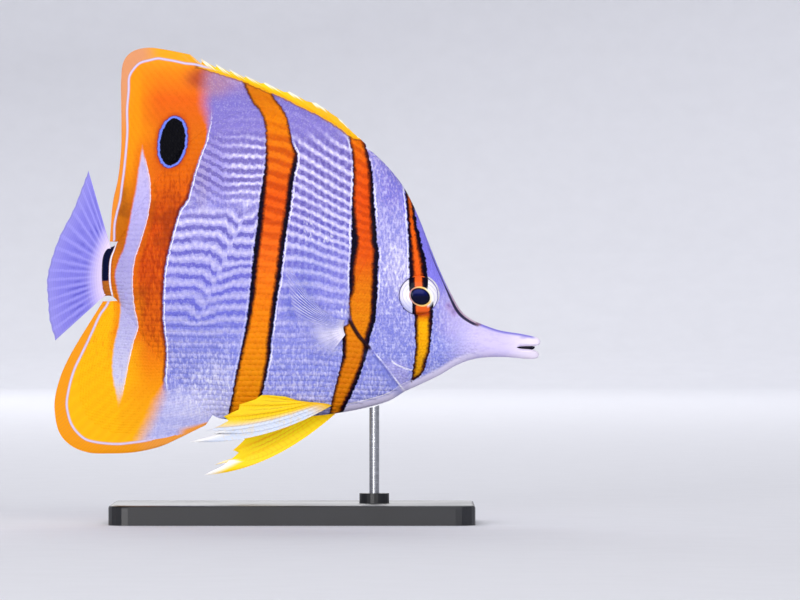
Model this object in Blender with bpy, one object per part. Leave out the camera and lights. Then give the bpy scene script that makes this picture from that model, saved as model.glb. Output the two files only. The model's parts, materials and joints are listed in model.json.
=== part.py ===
"""A copperband butterflyfish as a still, life-size display model on a plain stand.

The fish looks along +X and its right side faces -Y. Outlines are given in
millimetres in the fish's own middle plane: x forward and z up from a point in
the middle of the body, which BODY_HEIGHT lifts above the floor.
"""

import math

import bmesh
import bpy

MM = 0.001

# Body, in mm
BODY_HEIGHT = 76.6
BODY_HALF_WIDTH = 11.0
WIDEST_AT = 0.42
GAP = 0.3
EDGE_HALF = 0.2
GILL_COVER_STEP = 0.45
HEAD_END = 53.6
SNOUT_END = 66.8
STALK_START = -53.6

# Tail: it swings to the left over this length, to this slope
TAIL_BEND_LENGTH = 8.0
TAIL_SLOPE = 0.5

# Fins: half thickness at the root and between the rays at the edge, how high
# rays stand, and how much of its way to the next a ray takes up on each side
FIN_ROOT_HALF = 1.2
FIN_EDGE_HALF = 0.26
RAY_HEIGHT = 0.2
SPINE_HEIGHT = 0.35
PECTORAL_RAY_HEIGHT = 0.12
RAY_SHARE = 0.17
SPINE_NOTCH = 0.85
PECTORAL_LEAN = 0.4
PELVIC_LEAN = 0.21
PELVIC_BOW = 4.5

# Eye: centre, half sizes and how far it looks forward
EYE_CENTRE = (37.9, 5.7, -7.9)
EYE_HALF_SIZES = (6.6, 3.4, 6.6)
EYE_TURN = math.radians(9)
# Nostrils: where each pit lies in the side view, and its radius
NOSTRILS = [(48.9, -12.9, 0.65), (47.4, -11.0, 0.5)]

# Mouth
UPPER_JAW_LENGTH = 7.9
LOWER_JAW_LENGTH = 7.5
JAW_HALF_WIDTH = 2.4
LIP_SWELL = 0.25

# Stand
BASE_SIZE = (110.0, 64.0, 6.0)
BASE_CORNER = 6.0
BASE_EDGE = 0.8
ROD_X = 24.6
ROD_RADIUS = 1.5
BOSS_RADIUS = 4.5
BOSS_HEIGHT = 3.0
SOCKET_DEPTH = 4.0

# Mouth slit: its upper and its lower edge
UPPER_SLIT = [(66.0, -23.25), (68.0, -23.1), (72.0, -23.1), (75.0, -23.2)]
LOWER_SLIT = [(66.0, -23.6), (68.0, -23.75), (72.0, -24.05), (75.0, -24.5)]
# Upper and lower edge of the flesh, from the tail stalk to the mouth
BACK = [
    (-58.5, 7.9), (-54.5, 7.1), (-50.9, 11.8), (-46.4, 19.4), (-40.3, 28.5), (-32.7, 37.3),
    (-23.6, 44.2), (-13.0, 48.5), (-2.4, 48.8), (7.6, 45.5), (15.8, 40.9), (22.7, 36.7),
    (27.9, 32.1), (32.4, 26.7), (35.5, 21.5), (38.5, 14.8), (41.5, 7.0), (44.5, -0.3),
    (47.6, -6.7), (50.6, -12.0), (53.6, -14.7), (58.2, -16.8), (62.7, -18.3), (68.8, -19.3),
    (72.4, -20.0), (75.0, -20.4),
]
BELLY = [
    (-58.5, -8.0), (-54.5, -8.2), (-50.9, -12.4), (-44.8, -21.2), (-38.8, -29.4),
    (-31.2, -37.9), (-23.6, -44.4), (-16.1, -45.2), (-3.9, -45.0), (6.7, -44.2),
    (15.8, -43.0), (23.3, -41.4), (29.4, -39.5), (33.9, -36.8), (38.5, -34.7),
    (44.5, -31.8), (49.1, -29.1), (53.6, -27.3), (58.2, -26.5), (64.2, -26.4),
    (71.8, -27.0), (75.0, -27.0),
]
WIDTH = [
    (-58.5, 2.2), (-54.0, 3.2), (-48.0, 4.9), (-40.0, 6.8), (-25.0, 9.2), (-10.0, 10.6),
    (4.0, BODY_HALF_WIDTH), (18.0, 10.9), (28.0, 10.0), (38.0, 8.0), (46.0, 6.0),
    (53.0, 4.4), (60.0, 3.3), (68.0, 2.6), (75.0, 2.2),
]

# Rear edge of the gill cover, where the head meets the torso
GILL_EDGE = [
    (23.3, 36.4), (24.2, 21.2), (24.5, 8.2), (21.5, 1.5), (18.5, -6.1), (17.0, -13.6),
    (19.1, -18.8), (22.7, -23.3), (27.9, -29.7), (32.4, -35.8), (33.6, -37.0),
]
# Rear edge of the tail stalk, where the tail fin starts
TAIL_ROOT = [(-56.0, 7.4), (-57.6, 4.2), (-58.0, 0.0), (-57.9, -4.2), (-57.2, -8.0)]

# Middle fins: how far forward each ray leaves the body's edge, and where it ends
DORSAL_SPINY = (
    [22.2, 19.5, 16.0, 12.5, 8.0, 3.0, -1.5, -6.1, -10.0, -13.0],
    [(22.0, 38.3), (17.9, 42.1), (11.2, 48.3), (2.4, 52.7), (-4.8, 55.5), (-12.1, 58.2),
     (-17.0, 60.0), (-21.5, 61.8), (-25.8, 63.5), (-30.4, 65.0)],
)
DORSAL_SOFT = (
    [-13.6, -18.5, -23.6, -28.2, -32.7, -36.7, -40.3, -43.9, -46.9, -49.4, -51.6, -53.0],
    [(-31.2, 65.3), (-38.8, 66.8), (-44.2, 67.4), (-48.8, 66.1), (-51.4, 63.0), (-52.1, 57.6),
     (-52.1, 51.5), (-52.0, 43.9), (-52.1, 36.4), (-53.0, 27.9), (-54.7, 19.7), (-55.5, 8.6)],
)
ANAL = (
    [-24.4, -27.3, -29.9, -32.7, -35.2, -37.6, -40.0, -42.4, -44.8, -47.3, -49.7, -51.8, -53.2],
    [(-26.5, -47.0), (-34.2, -50.8), (-40.3, -53.5), (-47.9, -55.2), (-55.5, -55.6),
     (-62.1, -55.3), (-67.6, -53.0), (-71.1, -48.6), (-72.3, -40.9), (-70.9, -33.6),
     (-68.0, -26.7), (-63.6, -19.1), (-57.6, -9.5)],
)
# Other fins: where each ray starts and where it ends
TAIL_TIPS = [
    (-62.1, 30.2), (-64.2, 24.8), (-67.0, 17.9), (-70.9, 10.6), (-73.6, 3.3), (-75.0, -3.0),
    (-74.7, -9.1), (-74.2, -15.2), (-72.4, -21.4),
]
PECTORAL = (
    [(15.9, -15.2), (15.6, -15.8), (15.4, -16.5), (15.3, -17.3), (15.4, -18.1), (15.6, -18.9),
     (15.9, -19.6)],
    [(0.6, -0.9), (-1.7, -0.2), (-1.3, -6.3), (0.6, -13.0), (2.7, -19.5), (5.8, -24.6),
     (10.4, -26.8)],
)
PELVIC_RAISED = (
    [(11.8, -41.0), (11.0, -40.7), (10.0, -40.4), (8.6, -40.2), (7.0, -40.0), (5.2, -39.9),
     (3.4, -39.7), (1.6, -39.5)],
    [(-30.9, -51.8), (-24.2, -49.4), (-26.4, -48.6), (-23.6, -47.6), (-20.9, -44.2),
     (-16.1, -40.6), (-9.4, -37.8), (-2.4, -38.2)],
)
PELVIC_LOWERED = (
    [(14.5, -42.1), (13.6, -41.9), (12.4, -41.6), (11.0, -41.3), (9.4, -41.0), (7.6, -40.8),
     (5.8, -40.6), (4.0, -40.4)],
    [(-27.3, -62.4), (-22.4, -60.0), (-24.0, -59.3), (-20.9, -58.9), (-18.6, -54.9),
     (-16.0, -50.6), (-11.5, -47.4), (-4.0, -45.0)],
)


def mix(a, b, share):
    return a + (b - a) * share


def step(low, high, x):
    """0 below low and 1 above high, with a soft change between."""
    t = min(max((x - low) / (high - low), 0.0), 1.0)
    return t * t * (3 - 2 * t)


def smooth(points, x):
    """Value at x of the smooth curve through points (x, value)."""
    last = len(points) - 1
    i = min(sum(x > p[0] for p in points[1:last]), last - 1)

    def slope(k):
        a, b = points[max(k - 1, 0)], points[min(k + 1, last)]
        return (b[1] - a[1]) / (b[0] - a[0])

    (x0, y0), (x1, y1) = points[i], points[i + 1]
    gap = x1 - x0
    t = min(max((x - x0) / gap, 0.0), 1.0)
    return (
        (1 + 2 * t) * (1 - t) ** 2 * y0 + t * t * (3 - 2 * t) * y1
        + t * (1 - t) * gap * ((1 - t) * slope(i) - t * slope(i + 1))
    )


def along(points, share):
    """Point at a share, 0 to 1, of the smooth line through points."""
    at = share * (len(points) - 1)
    return tuple(smooth([(k, p[axis]) for k, p in enumerate(points)], at) for axis in (0, 1))


def height_share(x, z):
    low = smooth(BELLY, x)
    return (z - low) / (smooth(BACK, x) - low)


def by_share(line):
    """How far forward a line across the body lies, as a function of the height share."""
    points = sorted((height_share(x, z), x) for x, z in line)
    return lambda share: smooth(points, share)


def body_half(x, z):
    """Half the width of the body at a point of its middle plane."""
    low, top = smooth(BELLY, x), smooth(BACK, x)
    if not low < z < top:
        return 0.0
    widest = mix(low, top, WIDEST_AT)
    stalk = step(-52.0, -56.5, x)
    if z > widest:
        away, rounded = (z - widest) / (top - widest), max(step(19.0, 27.0, x), stalk)
    else:
        away, rounded = (widest - z) / (widest - low), max(step(-27.0, -17.0, x), stalk)
    root = mix(FIN_ROOT_HALF, EDGE_HALF, rounded)
    fall = (1 - away ** mix(1.6, 2.0, rounded)) ** mix(1.0, 0.5, rounded)
    return root + (smooth(WIDTH, x) - root) * fall


def stalk_half(x, z):
    return max(body_half(x, z), 0.5)


def tail_offset(x):
    """How far the middle plane has swung towards the left side at x."""
    back = max(STALK_START - x, 0.0)
    q = min(back / TAIL_BEND_LENGTH, 1.0)
    curved = TAIL_BEND_LENGTH * (q**3 - q**4 / 2)
    return TAIL_SLOPE * (curved + max(back - TAIL_BEND_LENGTH, 0.0))


def finish(name, colour, roughness):
    material = bpy.data.materials.new(name)
    material.use_nodes = True
    shader = material.node_tree.nodes["Principled BSDF"]
    shader.inputs["Base Color"].default_value = (*colour, 1)
    shader.inputs["Roughness"].default_value = roughness
    return material


def node_from(name, mesh, colour, roughness=0.45):
    """The finished node of a bmesh whose points are in metres."""
    mesh.normal_update()
    bmesh.ops.recalc_face_normals(mesh, faces=mesh.faces)
    data = bpy.data.meshes.new(name)
    mesh.to_mesh(data)
    mesh.free()
    node = bpy.data.objects.new(name, data)
    bpy.context.scene.collection.objects.link(node)
    data.materials.append(finish(name + "_finish", colour, roughness))
    data.shade_smooth()
    data.set_sharp_from_angle(angle=math.radians(40))
    return node


def sheet(name, columns, rows, place, colour):
    """A closed node made of one grid on either side and a rim between them.

    place(u, v) gives a point of the middle surface and half the thickness
    there, as (x, y, z, half) in mm, for u and v from 0 to 1.
    """
    mesh = bmesh.new()
    bmesh.ops.create_grid(mesh, x_segments=columns, y_segments=rows, size=0.5)
    bmesh.ops.triangulate(mesh, faces=mesh.faces[:])
    both = mesh.verts[:] + mesh.edges[:] + mesh.faces[:]
    made = bmesh.ops.extrude_face_region(mesh, geom=both, use_keep_orig=True)["geom"]
    for vert in made:
        if isinstance(vert, bmesh.types.BMVert):
            vert.co.z = 1
    bmesh.ops.triangulate(mesh, faces=mesh.faces[:])
    for vert in mesh.verts:
        x, y, z, half = place(vert.co.x + 0.5, vert.co.y + 0.5)
        side = half if vert.co.z > 0.5 else -half
        vert.co = (x * MM, (y + side) * MM, (z + BODY_HEIGHT) * MM)
    return node_from(name, mesh, colour)


def flesh(rear, front, proud=0.0):
    """place for a length of the body between two lines across it."""

    def place(u, v):
        share = mix(v, 0.5 - 0.5 * math.cos(math.pi * v), 0.85)
        x = mix(rear(share), front(share), u)
        z = mix(smooth(BELLY, x), smooth(BACK, x), share)
        half = max(body_half(x, z), EDGE_HALF)
        cover = step(0.03, 0.12, share) * step(0.62, 0.5, share)
        half += proud * cover * step(0.45, 0.0, u)
        return x, tail_offset(x), z, half

    return place


def on_edge(edge, ahead):
    """Points just off the upper or lower edge of the flesh, at these distances ahead."""
    points = []
    for x in ahead:
        slope = (smooth(edge, x + 0.1) - smooth(edge, x - 0.1)) / 0.2
        off = (GAP + 0.05) / math.hypot(slope, 1) * (1 if edge is BACK else -1)
        points.append((x - off * slope, smooth(edge, x) + off))
    return points


def ray_at(v, rays, offset=0.0):
    """v moved so that grid lines meet each ray's crest and feet, its share of the
    way to the next ray, and the ray's height there from 0 to 1."""
    where = v * rays + offset
    whole = math.floor(where + 0.5)
    away = abs(where - whole)
    if away < 0.25:
        moved = away * RAY_SHARE / 0.25
    else:
        moved = mix(RAY_SHARE, 0.5, (away - 0.25) / 0.25)
    side = 1 if where > whole else -1
    return (whole + side * moved - offset) / rays, moved, max(1 - moved / RAY_SHARE, 0.0)


def fin(lines, root_half, rays, ridge, side=0, lean=0.0, bow=0.0, spiny=False):
    """place for a fin whose rays run from one line to the other.

    The rays are ridges of this height on both faces. Spines stand between
    the edges and reach a little past the skin. side is 0 for a fin in the
    middle plane, 1 for left and -1 for right: a paired fin starts at the
    flank and leans outwards by this slope. bow bends the first ray down.
    """
    roots, tips = lines

    def place(u, v):
        v, away, crest = ray_at(v, rays, 0.5 if spiny else 0.0)
        (x0, z0), (x1, z1) = along(roots, v), along(tips, v)
        reach = u * mix(1, SPINE_NOTCH, (2 * away) ** 0.7) if spiny else u
        x, z = mix(x0, x1, reach), mix(z0, z1, reach)
        z -= bow * (1 - v) ** 1.5 * 4 * u * (1 - u)
        root = root_half(x0, z0) if callable(root_half) else root_half
        half = mix(FIN_EDGE_HALF, root, (1 - u) ** 3)
        half += ridge * crest * step(0.0, 0.2, u) * mix(1, 0.4, u)
        if not side:
            return x, tail_offset(x) if tips is TAIL_TIPS else 0.0, z, half
        clear = GAP + half
        out = body_half(x0, z0) + clear + lean * math.hypot(x - x0, z - z0)
        return x, side * max(out, body_half(x, z) + clear), z, half

    return place


def head_node(place, colour):
    """The head with its eye sockets and nostril pits cut by one Boolean."""
    head = sheet("head", 24, 20, place, colour)
    cutters = bpy.data.collections.new("head cutters")
    bpy.context.scene.collection.children.link(cutters)
    cutters.hide_render = True
    for name, side in (("left", 1), ("right", -1)):
        hide_in(cutters, eyeball("socket_" + name, side, GAP))
        for k, (x, z, radius) in enumerate(NOSTRILS):
            mesh = bmesh.new()
            bmesh.ops.create_icosphere(mesh, subdivisions=2, radius=radius * MM)
            at = (x * MM, side * (body_half(x, z) + 0.1) * MM, (z + BODY_HEIGHT) * MM)
            bmesh.ops.translate(mesh, vec=at, verts=mesh.verts)
            hide_in(cutters, node_from(f"nostril_{name}_{k}", mesh, colour))
    cut = head.modifiers.new("sockets and nostrils", "BOOLEAN")
    cut.operation = "DIFFERENCE"
    cut.solver = "EXACT"
    cut.operand_type = "COLLECTION"
    cut.collection = cutters


def hide_in(collection, cutter):
    cutter.hide_render = True
    cutter.display_type = "WIRE"
    for other in list(cutter.users_collection):
        other.objects.unlink(cutter)
    collection.objects.link(cutter)


def eyeball(name, side, larger=0.0):
    mesh = bmesh.new()
    bmesh.ops.create_uvsphere(mesh, u_segments=20, v_segments=10, radius=1)
    x, y, z = EYE_CENTRE
    turn = side * -EYE_TURN
    for vert in mesh.verts:
        # The poles face outwards, so that rings run round the pupil
        out, up = vert.co.z * (EYE_HALF_SIZES[1] + larger), vert.co.y * (EYE_HALF_SIZES[2] + larger)
        ahead = vert.co.x * (EYE_HALF_SIZES[0] + larger)
        ahead, out = (
            ahead * math.cos(turn) - out * math.sin(turn),
            ahead * math.sin(turn) + out * math.cos(turn),
        )
        vert.co = ((x + ahead) * MM, (side * y + out) * MM, (z + up + BODY_HEIGHT) * MM)
    return node_from(name, mesh, (0.9, 0.9, 0.95), 0.1)


def jaw(name, outer, slit, length, colour):
    """A jaw with a rounded tip and a lip, between its outer line and the mouth slit."""
    lip_side = 1 if slit is LOWER_SLIT else -1

    def place(u, v):
        ahead = math.sin(u * math.pi / 2)
        x = SNOUT_END + GAP + length * ahead
        blunt = mix(math.sqrt(max(1 - ahead**12, 0.0)), 1, 0.12)
        far, near = smooth(outer, x), smooth(slit, x)
        across = math.sin((v - 0.5) * math.pi)
        z = (far + near) / 2 + across * abs(far - near) / 2 * blunt
        half = mix(JAW_HALF_WIDTH, 0.75 * JAW_HALF_WIDTH, ahead) * blunt
        half *= math.sqrt(max(1 - abs(across) ** 3, 0.0))
        half += LIP_SWELL * step(0.2, 0.7, across * lip_side) * step(1, 0.8, abs(across)) * blunt
        return x, 0.0, z, max(half, EDGE_HALF)

    return sheet(name, 8, 12, place, colour)


def stand():
    length, width, thick = (size * MM for size in BASE_SIZE)
    mesh = bmesh.new()
    bmesh.ops.create_cube(mesh, size=1)
    for vert in mesh.verts:
        vert.co = (vert.co.x * length, vert.co.y * width, (vert.co.z + 0.5) * thick)
    upright = [e for e in mesh.edges if abs(e.verts[0].co.z - e.verts[1].co.z) > thick / 2]
    bmesh.ops.bevel(mesh, geom=upright, offset=BASE_CORNER * MM, segments=5, affect="EDGES",
                    profile=0.5)
    rim = [e for e in mesh.edges if min(v.co.z for v in e.verts) > thick * 0.99]
    bmesh.ops.bevel(mesh, geom=rim, offset=BASE_EDGE * MM, segments=2, affect="EDGES", profile=0.5)
    base = node_from("stand_base", mesh, (0.05, 0.05, 0.06), 0.35)
    boss = post("boss", BOSS_RADIUS, BASE_SIZE[2] - 1.0, BASE_SIZE[2] + BOSS_HEIGHT)
    socket_floor = BASE_SIZE[2] + BOSS_HEIGHT - SOCKET_DEPTH
    socket = post("rod_socket", ROD_RADIUS + GAP, socket_floor, BASE_SIZE[2] + BOSS_HEIGHT + 1.0)
    for name, other, operation in (("boss", boss, "UNION"), ("socket", socket, "DIFFERENCE")):
        other.hide_render = True
        other.display_type = "WIRE"
        join = base.modifiers.new(name, "BOOLEAN")
        join.operation = operation
        join.solver = "EXACT"
        join.object = other
    breast = [BODY_HEIGHT + smooth(BELLY, ROD_X + ahead) for ahead in (-ROD_RADIUS, ROD_RADIUS)]
    slope = (breast[1] - breast[0]) / (2 * ROD_RADIUS)
    post("stand_rod", ROD_RADIUS, socket_floor + GAP, sum(breast) / 2 - GAP - 0.05, slope)


def post(name, radius, bottom, top, slope=0.0):
    """An upright round bar under the breast, between two heights in mm.

    slope tilts its upper end to lie along the breast.
    """
    mesh = bmesh.new()
    bmesh.ops.create_cone(
        mesh, cap_ends=True, segments=24, radius1=radius * MM, radius2=radius * MM,
        depth=(top - bottom) * MM,
    )
    for vert in mesh.verts:
        if vert.co.z > 0:
            vert.co.z += slope * vert.co.x
    bmesh.ops.translate(mesh, vec=(ROD_X * MM, 0, (top + bottom) / 2 * MM), verts=mesh.verts)
    return node_from(name, mesh, (0.6, 0.6, 0.62), 0.3)


def main():
    for old in list(bpy.data.objects):
        bpy.data.objects.remove(old)
    pale, yellow, orange = (0.55, 0.55, 0.8), (0.9, 0.65, 0.05), (0.85, 0.3, 0.03)
    gill, tail = by_share(GILL_EDGE), by_share(TAIL_ROOT)

    sheet("torso", 28, 18, flesh(lambda s: STALK_START + GAP, lambda s: gill(s) - 0.4), pale)
    head_node(flesh(gill, lambda s: HEAD_END, proud=GILL_COVER_STEP), pale)
    sheet("snout", 6, 10, flesh(lambda s: HEAD_END + GAP, lambda s: SNOUT_END), pale)
    sheet("tail_stalk", 4, 10, flesh(tail, lambda s: STALK_START), pale)
    jaw("upper_jaw", BACK, UPPER_SLIT, UPPER_JAW_LENGTH, pale)
    jaw("lower_jaw", BELLY, LOWER_SLIT, LOWER_JAW_LENGTH, pale)

    spiny = (on_edge(BACK, DORSAL_SPINY[0]), DORSAL_SPINY[1])
    soft = (on_edge(BACK, DORSAL_SOFT[0]), DORSAL_SOFT[1])
    anal = (on_edge(BELLY, ANAL[0]), ANAL[1])
    tail_lines = ([(x - GAP, z) for x, z in TAIL_ROOT], TAIL_TIPS)
    spines = fin(spiny, FIN_ROOT_HALF, 9, SPINE_HEIGHT, spiny=True)
    sheet("dorsal_fin_spiny", 5, 36, spines, yellow)
    sheet("dorsal_fin_soft", 4, 112, fin(soft, FIN_ROOT_HALF, 28, RAY_HEIGHT), orange)
    sheet("anal_fin", 4, 88, fin(anal, FIN_ROOT_HALF, 22, RAY_HEIGHT), orange)
    sheet("tail_fin", 4, 64, fin(tail_lines, stalk_half, 16, RAY_HEIGHT), pale)
    for name, side in (("left", 1), ("right", -1)):
        place = fin(PECTORAL, 0.6, 14, PECTORAL_RAY_HEIGHT, side, PECTORAL_LEAN)
        sheet("pectoral_fin_" + name, 3, 56, place, pale)
        eyeball("eye_" + name, side)
    raised = fin(PELVIC_RAISED, 0.7, 7, RAY_HEIGHT, -1, PELVIC_LEAN)
    lowered = fin(PELVIC_LOWERED, 0.7, 7, RAY_HEIGHT, 1, PELVIC_LEAN, PELVIC_BOW)
    sheet("pelvic_fin_right", 6, 28, raised, yellow)
    sheet("pelvic_fin_left", 6, 28, lowered, yellow)
    stand()


main()
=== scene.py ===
"""Looks of a copperband butterflyfish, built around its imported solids.

The fish looks along +X and shows its right side to the camera. Outlines and
markings are given in millimetres in the fish's own middle plane, x forward and
z up from a point in the middle of the body, which BODY_HEIGHT lifts above the
floor. One skin covers the body with its back and anal fins, and small solid
scales lie over it in rows. Skin and scales carry the same markings, which
follow distances to the edge lines of the bands, kept on every vertex.
"""

import json
import logging
import math
from dataclasses import dataclass, field
from enum import Enum

import bmesh
import bpy
import numpy as np
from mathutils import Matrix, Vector

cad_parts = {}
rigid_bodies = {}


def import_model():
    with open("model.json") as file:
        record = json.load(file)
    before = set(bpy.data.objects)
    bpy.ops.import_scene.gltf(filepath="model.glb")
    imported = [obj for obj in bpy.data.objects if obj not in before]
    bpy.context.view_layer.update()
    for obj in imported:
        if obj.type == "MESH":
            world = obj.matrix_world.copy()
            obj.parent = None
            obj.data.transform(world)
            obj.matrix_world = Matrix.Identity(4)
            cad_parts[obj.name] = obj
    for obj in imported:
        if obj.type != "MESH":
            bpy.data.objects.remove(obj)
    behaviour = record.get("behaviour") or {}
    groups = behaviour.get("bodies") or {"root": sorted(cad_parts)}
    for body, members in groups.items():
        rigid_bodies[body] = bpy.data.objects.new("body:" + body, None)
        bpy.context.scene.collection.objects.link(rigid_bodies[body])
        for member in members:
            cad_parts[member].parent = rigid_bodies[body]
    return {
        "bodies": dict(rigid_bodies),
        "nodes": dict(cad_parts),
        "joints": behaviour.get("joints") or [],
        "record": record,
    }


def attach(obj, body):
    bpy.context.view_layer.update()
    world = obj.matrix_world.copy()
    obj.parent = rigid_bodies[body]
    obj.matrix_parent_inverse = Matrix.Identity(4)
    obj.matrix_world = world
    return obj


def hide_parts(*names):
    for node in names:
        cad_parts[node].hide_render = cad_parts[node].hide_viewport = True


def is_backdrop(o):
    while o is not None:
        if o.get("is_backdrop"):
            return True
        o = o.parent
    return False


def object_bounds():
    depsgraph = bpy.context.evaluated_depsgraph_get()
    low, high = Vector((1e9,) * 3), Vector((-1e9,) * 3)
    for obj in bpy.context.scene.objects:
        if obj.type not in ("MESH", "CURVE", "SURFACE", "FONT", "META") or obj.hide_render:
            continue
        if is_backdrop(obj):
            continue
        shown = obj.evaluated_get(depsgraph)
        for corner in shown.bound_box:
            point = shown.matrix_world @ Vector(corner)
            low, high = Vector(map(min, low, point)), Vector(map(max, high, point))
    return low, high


log = logging.getLogger("butterflyfish")
Points = tuple[tuple[float, float], ...]
Socket = bpy.types.NodeSocket

MM = 0.001
BODY_HEIGHT = 76.6

# How far the skin lies inside the solids, so that the scales on it reach them
COAT_DEPTH = 0.15


class Side(Enum):
    """The two sides of the fish, with the sign of y on each."""

    LEFT = 1
    RIGHT = -1


def mix(a, b, share):
    """Value at a share of the way from a to b."""
    return a + (b - a) * share


def step(low: float, high: float, x):
    """0 on low's side and 1 on high's side, with a soft change between."""
    t = np.clip((x - low) / (high - low), 0.0, 1.0)
    return t * t * (3 - 2 * t)


def bump(x, centre: float, reach: float):
    """A smooth hump, 1 at centre and nearly 0 one reach away."""
    return np.exp(-(((x - centre) / reach) ** 2) * 3)


@dataclass(frozen=True)
class Line:
    """A smooth line through points, each a place and the value there."""

    points: Points

    def at(self, x) -> np.ndarray:
        """Value at x.

        Args:
            x: Places along the line, in mm.

        Returns:
            The line's values, level beyond its ends.
        """
        places, values = np.array(self.points).T
        last = len(places) - 1
        before = np.maximum(np.arange(last + 1) - 1, 0)
        after = np.minimum(np.arange(last + 1) + 1, last)
        slopes = (values[after] - values[before]) / (places[after] - places[before])
        i = np.searchsorted(places[1:-1], x)
        gap = places[i + 1] - places[i]
        t = np.clip((x - places[i]) / gap, 0.0, 1.0)
        return (
            (1 + 2 * t) * (1 - t) ** 2 * values[i]
            + t * t * (3 - 2 * t) * values[i + 1]
            + t * (1 - t) * gap * ((1 - t) * slopes[i] - t * slopes[i + 1])
        )

    def beyond(self, x, value) -> np.ndarray:
        """How far a value lies above the line at x, measured square to the line."""
        slope = (self.at(x + 0.2) - self.at(x - 0.2)) / 0.4
        return (value - self.at(x)) / np.sqrt(1 + slope**2)


def along(points: Points, share) -> tuple[np.ndarray, np.ndarray]:
    """Point at a share of the smooth line through points.

    Args:
        points: Points (x, z) in mm.
        share: Shares of the way, counted in points, from 0 to 1.

    Returns:
        The x and the z of each point.
    """
    at = np.asarray(share) * (len(points) - 1)
    return tuple(Line(tuple((k, p[axis]) for k, p in enumerate(points))).at(at) for axis in (0, 1))


def distance_to(path: Points, x, z, pieces: int = 90) -> np.ndarray:
    """Distance to a smooth path, positive on its left-hand side.

    Args:
        path: Points (x, z) in mm.
        x: Where to measure, in mm.
        z: Where to measure, in mm.
        pieces: How many straight pieces stand for the path.

    Returns:
        Signed distances in mm.
    """
    px, pz = along(path, np.linspace(0, 1, pieces + 1))
    dx, dz = np.diff(px), np.diff(pz)
    found = np.empty(len(x))
    for start in range(0, len(x), 20000):
        part = slice(start, start + 20000)
        ax, az = x[part, None] - px[None, :-1], z[part, None] - pz[None, :-1]
        t = np.clip((ax * dx + az * dz) / (dx * dx + dz * dz), 0, 1)
        away = np.hypot(ax - t * dx, az - t * dz)
        nearest = np.argmin(away, axis=1)
        rows = np.arange(len(nearest))
        turn = dx[nearest] * az[rows, nearest] - dz[nearest] * ax[rows, nearest]
        found[part] = away[rows, nearest] * np.where(turn > 0, 1, -1)
    return found


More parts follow.
